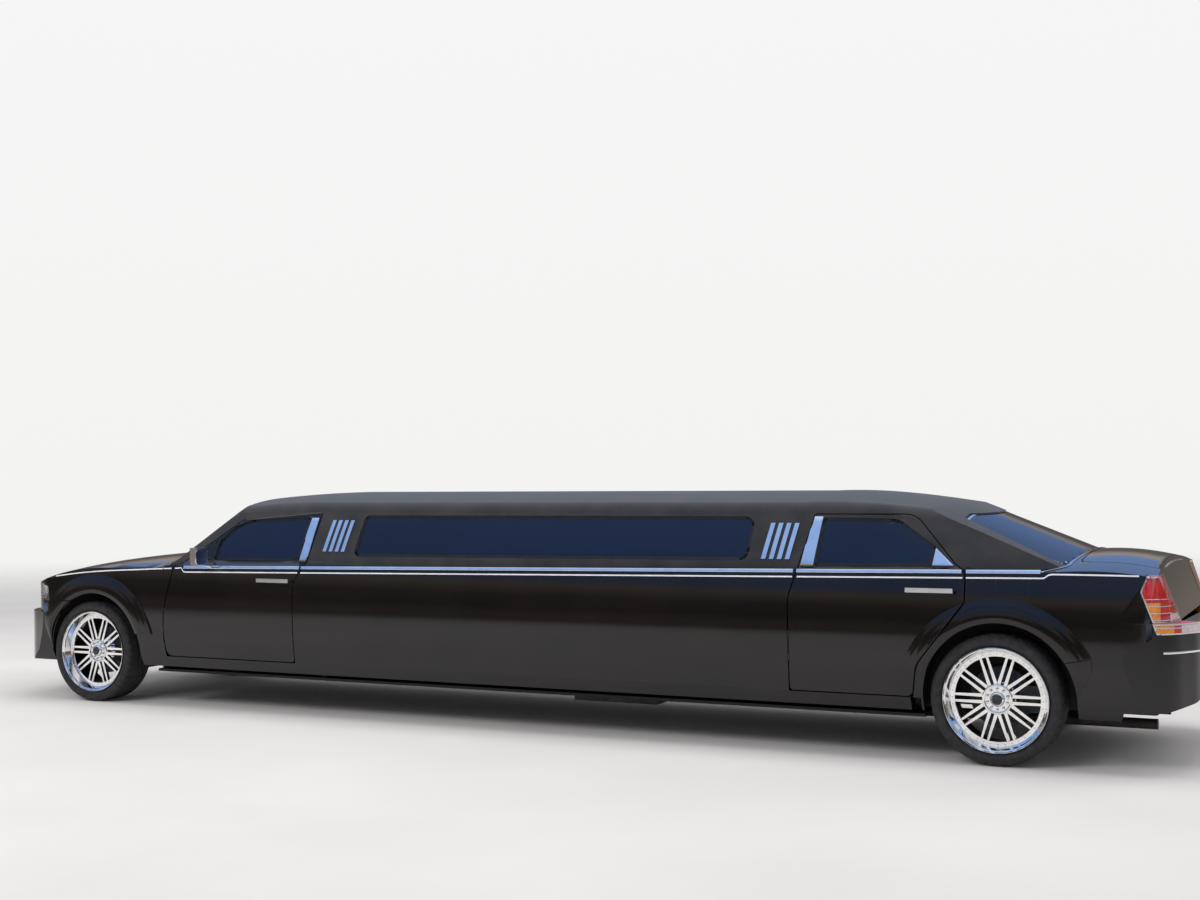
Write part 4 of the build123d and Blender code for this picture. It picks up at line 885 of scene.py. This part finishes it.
for flareName, (centre, nodeName, body, start, end, tip, step, cuts, drop) in flareParts.items():
    sheet = archSheet(centre, start, end, tip)
    for a, b in cuts:
        cutPlane(sheet, (a[0], 0, a[1]), (b[1] - a[1], 0, a[0] - b[0]))
    dropFaces(sheet, drop)
    pressOn(sheet, [nodeName], 0.0003)
    raiseSheet(sheet, centre, tip, step)
    bothSides(sheet, flareName, body, blackPaint, "paint", 35)
print("stage: flares laid")

# Tail lamps: a lens in three colours, ribs across it and a bright frame
rearLamp = {"ribs": (0.792, 0.830, 0.868, 0.906, 0.944), "ribHigh": 0.0045, "ribProud": 0.0016, "amberTop": 0.925,
            "clearTop": 0.868, "clearSide": 0.78, "frame": (0.008, 0.0022)}


def lampOut(middle, normal):    # the faces of a lamp that show from outside
    across = normal.y * (1 if middle.y > 0 else -1)
    return abs(normal.z) < 0.75 and (abs(normal.x) > 0.3 and normal.x * middle.x > 0 or across > 0.25)


lens = copyPiece(nodes["taillamps"], "lens")
weld(lens)
cutLevel(lens, rearLamp["amberTop"])
cutLevel(lens, rearLamp["clearTop"])
finishPiece(lens, "tail_lens", fixedBody, redLens, "tail_lens")
coverFaces(lens, amberLens, lambda m, n: m.z < rearLamp["amberTop"] and abs(n.y) > 0.7)
coverFaces(lens, clearLens, lambda m, n: m.z < rearLamp["clearTop"] and n.x < -0.7 and abs(n.y) <= 0.7
           and abs(m.y) < rearLamp["clearSide"])
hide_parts("taillamps")
ribs = []
for z in rearLamp["ribs"]:
    rib = copyPiece(nodes["taillamps"], "rib")
    weld(rib)
    cutLevel(rib, z - rearLamp["ribHigh"] / 2, "above")
    cutLevel(rib, z + rearLamp["ribHigh"] / 2, "below")
    dropFaces(rib, lambda m, n: not lampOut(m, n))
    ribs.append(rib)
ribSet = joinPieces(*ribs)
modify(ribSet, "SOLIDIFY", thickness=rearLamp["ribProud"], offset=1.0)
finishPiece(ribSet, "tail_lamp_ribs", fixedBody, *chromeLooks)
glassBand("taillamps", "tail_lamp_frames", fixedBody, lampOut, *rearLamp["frame"], *chromeLooks)

# Head lamps: a thin clear lens over a dark case with two bright bowls on each side
headLamp = {"lens": 0.0025, "case": 0.0015, "frame": (0.0045, 0.0015), "bowls": ((4.010, 0.720), (4.075, 0.590)),
            "z": 0.800, "behind": (0.018, 0.004), "toe": 18, "steps": 32, "wall": 0.0012,
            "bowl": [(0.0, 0.041), (-0.006, 0.039), (-0.022, 0.030), (-0.032, 0.016), (-0.034, 0.0001)],
            "bulb": [(-0.030, 0.020), (-0.016, 0.019), (-0.006, 0.014), (-0.001, 0.007), (0.0, 0.0001)]}
frontLens = copyPiece(nodes["headlamps"], "lens")
weld(frontLens)
caseShell = copyPiece(frontLens, "case")
dropFaces(frontLens, lambda m, n: not lampOut(m, n))
modify(frontLens, "SOLIDIFY", thickness=headLamp["lens"], offset=-1.0)
finishPiece(frontLens, "head_lens", fixedBody, headLens, "head_lens")
dropFaces(caseShell, lampOut)
modify(caseShell, "SOLIDIFY", thickness=headLamp["case"], offset=-1.0)
finishPiece(caseShell, "head_lamp_case", fixedBody, castMetal, "cast_parts")
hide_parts("headlamps")
glassBand("headlamps", "head_lamp_frames", fixedBody, lampOut, *headLamp["frame"], *chromeLooks)
bowls = []
bulbs = []
for x, y in headLamp["bowls"]:
    for turn in (1, -1):
        for points, keep in ((headLamp["bowl"], bowls), (headLamp["bulb"], bulbs)):
            part = spinSection(points, (0.0, 0.0), 0.0, headLamp["steps"])
            back, inward = headLamp["behind"]
            part.data.transform(Matrix.Translation((x - back, turn * (y - inward), headLamp["z"]))
                                @ Matrix.Rotation(math.radians(-90 + turn * headLamp["toe"]), 4, "Z"))
            keep.append(part)
bowlSet = joinPieces(*bowls)
modify(bowlSet, "SOLIDIFY", thickness=headLamp["wall"], offset=-1.0)
finishPiece(bowlSet, "head_lamp_bowls", fixedBody, *chromeLooks, 40)
finishPiece(joinPieces(*bulbs), "head_lamp_bulbs", fixedBody, clearLens, "head_lens", 40)
print("stage: lamps made")

# Outside mirrors' glass
mirrorGlass = {"x": 2.2925, "y": (0.966, 1.078), "z": (1.032, 1.134), "tilt": -4, "rounding": 0.022, "rim": 0.006,
               "thick": 0.004}
pickNone()
bpy.ops.mesh.primitive_plane_add(size=1, location=(mirrorGlass["x"], sum(mirrorGlass["y"]) / 2, sum(mirrorGlass["z"]) / 2),
                                 rotation=(0, math.radians(-90), math.radians(mirrorGlass["tilt"])))
glass = bpy.context.object
glass.scale = (mirrorGlass["z"][1] - mirrorGlass["z"][0], mirrorGlass["y"][1] - mirrorGlass["y"][0], 1)
placeInMesh(glass)
editAll(glass)
bpy.ops.mesh.bevel(offset=mirrorGlass["rounding"], segments=5, affect="VERTICES")
bpy.ops.mesh.select_all(action="SELECT")
bpy.ops.mesh.inset(thickness=mirrorGlass["rim"], depth=-0.002)
leaveEdit()
modify(glass, "SOLIDIFY", thickness=mirrorGlass["thick"], offset=-1.0)
tidyMesh(glass)
bothSides(glass, "mirror_glass", frontDoor, *chromeLooks)

# Bright strips: the lid's rear lip, the corner lamps, the rear bumper's upper edge and the deck below the rear window
lipTrim = {"x": -4.0215, "z": 1.105, "half": 0.600, "crown": 0.03,
           "section": ((0.0, -0.006), (-0.005, -0.004), (-0.005, 0.004), (0.0, 0.008))}
lip = sweep(lipTrim["section"], [(lipTrim["x"], y, lipTrim["z"] - lipTrim["crown"] * (y / 0.6) ** 2)
                                 for y in spread(-lipTrim["half"], lipTrim["half"], 24)], lengthwise=False)
finishPiece(lip, "lid_lip_trim", "trunk_body", *chromeLooks)
corner = {"z": 0.666, "high": 0.026, "thick": 0.0035,
          "path": [(4.045, 0.857), (4.065, 0.842), (4.085, 0.822), (4.105, 0.795), (4.124, 0.765), (4.142, 0.736),
                   (4.160, 0.707), (4.178, 0.679)]}
cornerSheet = surfaceStrip([(x, y, corner["z"]) for x, y in corner["path"]], (0, 0, corner["high"]),
                           ["front_bumper"], corner["thick"], (1, 0.5, 0), bevel=0.0010)
bothSides(cornerSheet, "corner_lamp", fixedBody, amberLens, "tail_lens")
strip = {"z": 0.6615, "high": 0.013, "thick": 0.0028,
         "path": [(-4.0600, 0.870), (-4.0950, 0.842), (-4.1361, 0.800), (-4.1700, 0.752), (-4.1983, 0.700),
                  (-4.2190, 0.660), (-4.2318, 0.620), (-4.2464, 0.500), (-4.2550, 0.400), (-4.2620, 0.300),
                  (-4.2690, 0.182)]}
stripSheet = surfaceStrip([(x, y, strip["z"]) for x, y in strip["path"]], (0, 0, strip["high"]), ["rear_bumper"],
                          strip["thick"], (-1, 0.3, 0))
bothSides(stripSheet, "bumper_strip", fixedBody, *chromeLooks)
deck = {"wide": 0.012, "thick": 0.0065,
        "path": [(-3.436, 0.874, 1.077), (-3.455, 0.860, 1.084), (-3.482, 0.835, 1.090), (-3.514, 0.806, 1.096),
                 (-3.542, 0.775, 1.101), (-3.557, 0.740, 1.107), (-3.559, 0.700, 1.1125), (-3.558, 0.650, 1.120),
                 (-3.563, 0.600, 1.1265), (-3.569, 0.500, 1.139), (-3.577, 0.400, 1.1485), (-3.583, 0.300, 1.1565),
                 (-3.587, 0.200, 1.1618), (-3.589, 0.100, 1.165), (-3.589, 0.0, 1.1662)]}
deckPath = deck["path"] + [(x, -y, z) for x, y, z in reversed(deck["path"][:-1])]
deckStrip = surfaceStrip(deckPath, (deck["wide"], 0, 0), ["rear_quarters", "rear_bulkhead"], deck["thick"], (0, 0, 1),
                         bevel=0.0020)
finishPiece(deckStrip, "deck_strip", fixedBody, *chromeLooks)

# Wipers: a blade along the glass's lower edge and an arm down to the cowl, for each its start, end and pivot across
wiper = {"blade": 0.013, "thick": 0.010, "arm": 0.010, "armThick": 0.016, "reach": 0.24, "drop": 0.045, "out": 0.062,
         "facing": (0.6, 0, 0.8), "x": 2.735, "z": 1.112, "half": 0.7, "bowX": 0.125, "bowZ": 0.045}


def onGlass(y, down=0.0):       # a place along the windshield's lower edge, or towards the cowl
    sag = (y / wiper["half"]) ** 2
    return (wiper["x"] + wiper["out"] * down - wiper["bowX"] * sag * 0.55, y,
            wiper["z"] - wiper["bowZ"] * sag - wiper["drop"] * down)


for wiperName, start, end, pivotY in (("wiper_driver", -0.02, 0.58, 0.30), ("wiper_passenger", -0.62, -0.10, -0.28)):
    blade = surfaceStrip([onGlass(y) for y in spread(start, end, 12)],
                         (wiper["blade"] * 0.8, 0, -wiper["blade"] * 0.6), ["windshield"], wiper["thick"], wiper["facing"])
    armPath = [onGlass(pivotY - wiper["reach"] + wiper["reach"] * k / 6, 1 - k / 6) for k in range(7)]
    arm = surfaceStrip(armPath, (0, wiper["arm"], 0), ["windshield", "cowl_firewall"], wiper["armThick"], wiper["facing"])
    finishPiece(joinPieces(blade, arm), wiperName, fixedBody, tankPlastic, "tank_plastic")

# Blank number plate with its two bolts
blank = {"x": -4.2688, "z": 0.626, "wide": 0.300, "high": 0.112, "thick": 0.0016, "rounding": 0.010,
         "insets": ((0.005, 0), (0.001, -0.0006)), "boltY": 0.089, "boltZ": 0.640, "bolt": 0.0075}
plate = roundTile((blank["x"] - blank["thick"] / 2, 0, blank["z"]), (blank["thick"], blank["wide"], blank["high"]),
                  blank["rounding"], blank["insets"])
finishPiece(plate, "blank_plate", fixedBody, plateBlank, "chrome_trim")
plateBolts = [addMesh(bpy.ops.mesh.primitive_uv_sphere_add, segments=16, ring_count=8, radius=blank["bolt"],
                      location=(blank["x"] - blank["thick"], y, blank["boltZ"]), scale=(0.5, 1, 1),
                      rotation=(0, math.radians(90), 0)) for y in (-blank["boltY"], blank["boltY"])]
finishPiece(joinPieces(*plateBolts), "plate_bolts", fixedBody, *chromeLooks, 40)

# Small bright plate behind the rear door's glass, and the fuel door's seams on the quarter
triangle = fourCorners([(-2.8325, 1.198), (-2.8290, 1.198), (-2.8150, 1.103), (-2.9360, 1.103)], 7)
layOn(triangle, ["door_rear_left"], 0.0020, bevel=0.0005)
bothSides(triangle, "rear_plate_small", rearDoor, *chromeLooks)
fuelDoor = {"x": (-3.367, -3.185), "z": (0.940, 1.037), "seam": 0.0026, "thick": 0.0004}
half = fuelDoor["seam"] / 2
lowZ, highZ = fuelDoor["z"]
seams = [ribbon([(x, z) for x in spread(*fuelDoor["x"], 6)], fuelDoor["seam"]) for z in fuelDoor["z"]]
seams += [fourCorners([(x + half, lowZ), (x - half, lowZ), (x - half, highZ), (x + half, highZ)], 7)
          for x in fuelDoor["x"]]
for seam in seams:
    layOn(seam, ["rear_quarters"], fuelDoor["thick"], gap=0.0002)
finishPiece(joinPieces(*seams), "fuel_door_seams", fixedBody, *sealLooks)
print("stage: mirror glass and tail trim made")

# Dashboard: a dial panel, a middle screen and a glove lid, each across, wide and high, with dial rings and vents
dash = {"x": 2.4735, "z": 0.866, "proud": 0.006, "deep": 0.012, "round": 0.016, "insets": ((0.004, 0), (0.0015, -0.0015)),
        "tiles": {"dial_panel": (0.440, 0.290, 0.082), "middle_screen": (0.0, 0.200, 0.080),
                  "glove_lid": (-0.440, 0.330, 0.070)},
        "dials": (0.378, 0.502), "vents": (0.145, -0.145, 0.655, -0.655), "steps": 40,
        "dial": [(0.0, 0.0335), (-0.0030, 0.0345), (-0.0030, 0.0375), (0.0, 0.0385)],
        "vent": [(0.0, 0.0240), (-0.0040, 0.0250), (-0.0040, 0.0290), (0.0, 0.0310)]}
for tileName, (y, wide, high) in dash["tiles"].items():
    tile = roundTile((dash["x"] - dash["proud"] + dash["deep"] / 2, y, dash["z"]), (dash["deep"], wide, high),
                     dash["round"], dash["insets"])
    finishPiece(tile, tileName, fixedBody, dashPlastic if tileName == "glove_lid" else tankPlastic, "dash_plastic")
rings = []
for y in dash["dials"] + dash["vents"]:
    isDial = y in dash["dials"]
    ring = spinSection(dash["dial" if isDial else "vent"], (0.0, 0.0), 0.0, dash["steps"])
    ring.data.transform(Matrix.Translation((dash["x"] - (dash["proud"] - 0.001 if isDial else 0.0), y, dash["z"]))
                        @ Matrix.Rotation(math.radians(-90), 4, "Z"))
    rings.append(ring)
finishPiece(joinPieces(*rings), "dial_and_vent_rings", fixedBody, *chromeLooks)
print("stage: dashboard dressed")

# Seats: padded leather, pulled in along sewn channels, each row of them as first line, pitch and width
mostTriangles = 190000
heldAt = {"near": 0.85, "below": 0.30, "down": -0.6}
clothFrames = 20
cloth = {"use_pressure": True, "uniform_pressure_force": 4.0, "vertex_group_mass": "held", "quality": 4,
         "tension_stiffness": 12, "bending_stiffness": 0.6}
frontSeat = {"voxel": 0.0125, "pressed": 0.007, "most": 0.010, "low": 0.40, "high": 1.02, "middle": 0.405, "half": 0.20,
             "cushion": 1.80, "row": (0.045, 0.09, 0.014)}
lounge = {"voxel": 0.0170, "pressed": 0.008, "most": 0.012, "bench": -1.86, "sideRow": (-1.70, 0.15, 0.018),
          "rearRow": (0.075, 0.15, 0.018)}


def blowUp(pad, most):      # blows the pad up as cloth and holds each point within a distance of its place
    start = [point.co.copy() for point in pad.data.vertices]
    pickOnly(pad)
    added = pad.modifiers.new("cloth", "CLOTH")
    for key, value in cloth.items():
        setattr(added.settings, key, value)
    added.settings.effector_weights.gravity = 0
    added.point_cache.frame_start = 1
    added.point_cache.frame_end = clothFrames
    for moment in range(1, clothFrames + 1):
        scene.frame_set(moment)
    bpy.ops.object.modifier_apply(modifier="cloth")
    scene.frame_set(1)
    for point, at in zip(pad.data.vertices, start):
        step = point.co - at
        if step.length > most:
            point.co = at + step * (most / step.length)


def padSeat(nodeName, seat, channelAt):
    pad = copyPiece(nodes[nodeName], nodeName + "_padded")
    tidyMesh(pad, 0.0001)
    modify(pad, "REMESH", mode="VOXEL", voxel_size=seat["voxel"])
    modify(pad, "SMOOTH", factor=0.5, iterations=5)
    channels = pad.vertex_groups.new(name="channels")
    held = pad.vertex_groups.new(name="held")
    for point in pad.data.vertices:
        near = channelAt(point.co, point.normal)
        if near > 0:
            channels.add([point.index], near, "REPLACE")
        if near > heldAt["near"] or point.co.z < heldAt["below"] or point.normal.z < heldAt["down"]:
            held.add([point.index], 1.0, "REPLACE")
    modify(pad, "DISPLACE", mid_level=0.0, strength=-seat["pressed"], vertex_group="channels")
    blowUp(pad, seat["most"])
    modify(pad, "SMOOTH", factor=0.4, iterations=1)
    modify(pad, "SUBSURF", levels=1, render_levels=1)
    triangles = 2 * len(pad.data.polygons)
    if triangles > mostTriangles:
        modify(pad, "DECIMATE", ratio=mostTriangles / triangles)
    finishPiece(pad, nodeName + "_padded", fixedBody, seatLeather, "seat_leather", 60)
    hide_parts(nodeName)


def nearLine(value, first, pitch, wide):    # how close a place is to one of a row of evenly spaced lines, 0 to 1
    away = abs((value - first + pitch / 2) % pitch - pitch / 2)
    return max(0.0, 1.0 - away / wide)


def frontChannels(place, normal):
    middle = abs(abs(place.y) - frontSeat["middle"])
    if place.z > frontSeat["high"] or place.z < frontSeat["low"] or middle >= frontSeat["half"]:
        return 0.0
    if normal.z > 0.5 and place.x > frontSeat["cushion"] or normal.x > 0.6 and place.z > 0.55:
        return nearLine(middle, *frontSeat["row"])
    return 0.0


def loungeChannels(place, normal):
    sideBench = place.x > lounge["bench"]
    out = normal.y if sideBench else normal.x
    if normal.z > 0.5 and place.z > 0.5 or out > 0.6 and place.z > 0.60:
        return nearLine(place.x, *lounge["sideRow"]) if sideBench else nearLine(place.y, *lounge["rearRow"])
    return 0.0


padSeat("front_seats", frontSeat, frontChannels)
padSeat("lounge_seat", lounge, loungeChannels)
print("stage: seats padded")

# Camera, lights and floor
view = {"place": (-5.1205, 9.7809, 1.6544), "yaw": 0.4569, "pitch": 0.0135, "roll": -0.0094, "lens": 47.76}
lookAlong = Vector((math.sin(view["yaw"]) * math.cos(view["pitch"]), -math.cos(view["yaw"]) * math.cos(view["pitch"]),
                    math.sin(view["pitch"])))
rightward = lookAlong.cross(Vector((0, 0, 1))).normalized()
upward = rightward.cross(lookAlong)
rollCos, rollSin = math.cos(view["roll"]), math.sin(view["roll"])
rightRolled = rightward * rollCos + upward * rollSin
upRolled = upward * rollCos - rightward * rollSin
cameraData = bpy.data.cameras.new("viewCamera")
cameraData.lens = view["lens"]
cameraData.sensor_width = 36.0
cameraData.clip_end = 300.0
camera = bpy.data.objects.new("viewCamera", cameraData)
bpy.context.collection.objects.link(camera)
camera.matrix_world = Matrix.Translation(view["place"]) @ Matrix((rightRolled, upRolled, -lookAlong)).transposed().to_4x4()
scene.camera = camera

studioFloor = {"size": 120.0, "z": -0.0005, "fade": (7.0, 24.0)}     # it fades into the backdrop between these distances
floor = addMesh(bpy.ops.mesh.primitive_grid_add, x_subdivisions=4, y_subdivisions=4, size=studioFloor["size"],
                location=(0, 0, studioFloor["z"]))
floor.name = "studioFloor"
floorPaint = makeFinish("paleFloor", (0.66, 0.64, 0.62), (0.70, 0.68, 0.66), (0.6, 0.7), 0.6, **{"Specular IOR Level": 0.0})
floor.data.materials.append(floorPaint)
scene.view_settings.view_transform = "Standard"
tree = floorPaint.node_tree
away = addNode(tree, "VectorMath", {0: addNode(tree, "TexCoord").outputs["Object"]})
away.operation = "LENGTH"
fadeOut = addNode(tree, "MapRange", {"Value": away.outputs["Value"], "From Min": studioFloor["fade"][0],
                                     "From Max": studioFloor["fade"][1]})
fadeOut.interpolation_type = "SMOOTHSTEP"
floorMix = addNode(tree, "MixShader", {"Fac": fadeOut.outputs["Result"], 1: tree.nodes["Principled BSDF"].outputs[0],
                                       2: addNode(tree, "BsdfTransparent").outputs[0]})
feed(tree, tree.nodes["Material Output"], {"Surface": floorMix.outputs[0]})

world = bpy.data.worlds.new("studio")
world.use_nodes = True
scene.world = world
tree = world.node_tree
tree.nodes.clear()
rays = addNode(tree, "LightPath").outputs
seen = addNode(tree, "Math", {0: rays["Is Camera Ray"], 1: rays["Is Transmission Ray"]})
seen.operation = "MAXIMUM"
fill = addNode(tree, "Background", {"Color": (0.94, 0.95, 1.0, 1), "Strength": 0.62})
sky = addNode(tree, "SeparateXYZ", {0: addNode(tree, "TexCoord").outputs["Generated"]})


def skyRamp(stops):     # a tone for each height above the horizon
    fade = addNode(tree, "ValToRGB", {"Fac": sky.outputs["Z"]})
    for place, (stop, tone) in enumerate(stops):
        mark = fade.color_ramp.elements[place] if place < 2 else fade.color_ramp.elements.new(stop)
        mark.position = stop
        mark.color = (*tone, 1)
    return addNode(tree, "Background", {"Color": fade.outputs["Color"], "Strength": 1.0}).outputs[0]


backdrop = skyRamp(((0.0, (0.90, 0.90, 0.89)), (1.0, (0.93, 0.94, 0.95)), (0.30, (0.92, 0.92, 0.92))))
mirrored = skyRamp(((0.0, (0.20, 0.17, 0.15)), (1.0, (0.85, 0.90, 0.96)), (0.05, (0.10, 0.09, 0.085)),
                    (0.13, (0.13, 0.12, 0.12)), (0.20, (0.42, 0.36, 0.30)), (0.25, (0.20, 0.32, 0.62)),
                    (0.60, (0.30, 0.46, 0.82))))
unlit = addNode(tree, "MixShader", {"Fac": seen.outputs[0], 1: fill.outputs[0], 2: backdrop})
both = addNode(tree, "MixShader", {"Fac": rays["Is Glossy Ray"], 1: unlit.outputs[0], 2: mirrored})
addNode(tree, "OutputWorld", {"Surface": both.outputs[0]})

lamps = {
    "keyLamp": ((3.0, 11.0, 9.0), (9.0, 4.0), 620.0),
    "overLamp": ((-1.0, 0.0, 8.5), (11.0, 4.0), 420.0),
    "backLamp": ((-9.0, -6.0, 6.0), (5.0, 4.0), 260.0),
    "noseLamp": ((11.0, 2.0, 5.0), (4.0, 3.0), 220.0),
}
for lampName, (spot, size, power) in lamps.items():
    lampData = bpy.data.lights.new(lampName, "AREA")
    lampData.shape = "RECTANGLE"
    lampData.size, lampData.size_y = size
    lampData.energy = power
    lamp = bpy.data.objects.new(lampName, lampData)
    bpy.context.collection.objects.link(lamp)
    lamp.location = spot
    lamp.rotation_euler = (Vector((0, 0, 0.6)) - Vector(spot)).to_track_quat("-Z", "Z").to_euler()
    lamp.visible_glossy = False
print("stage: camera and lamps set")
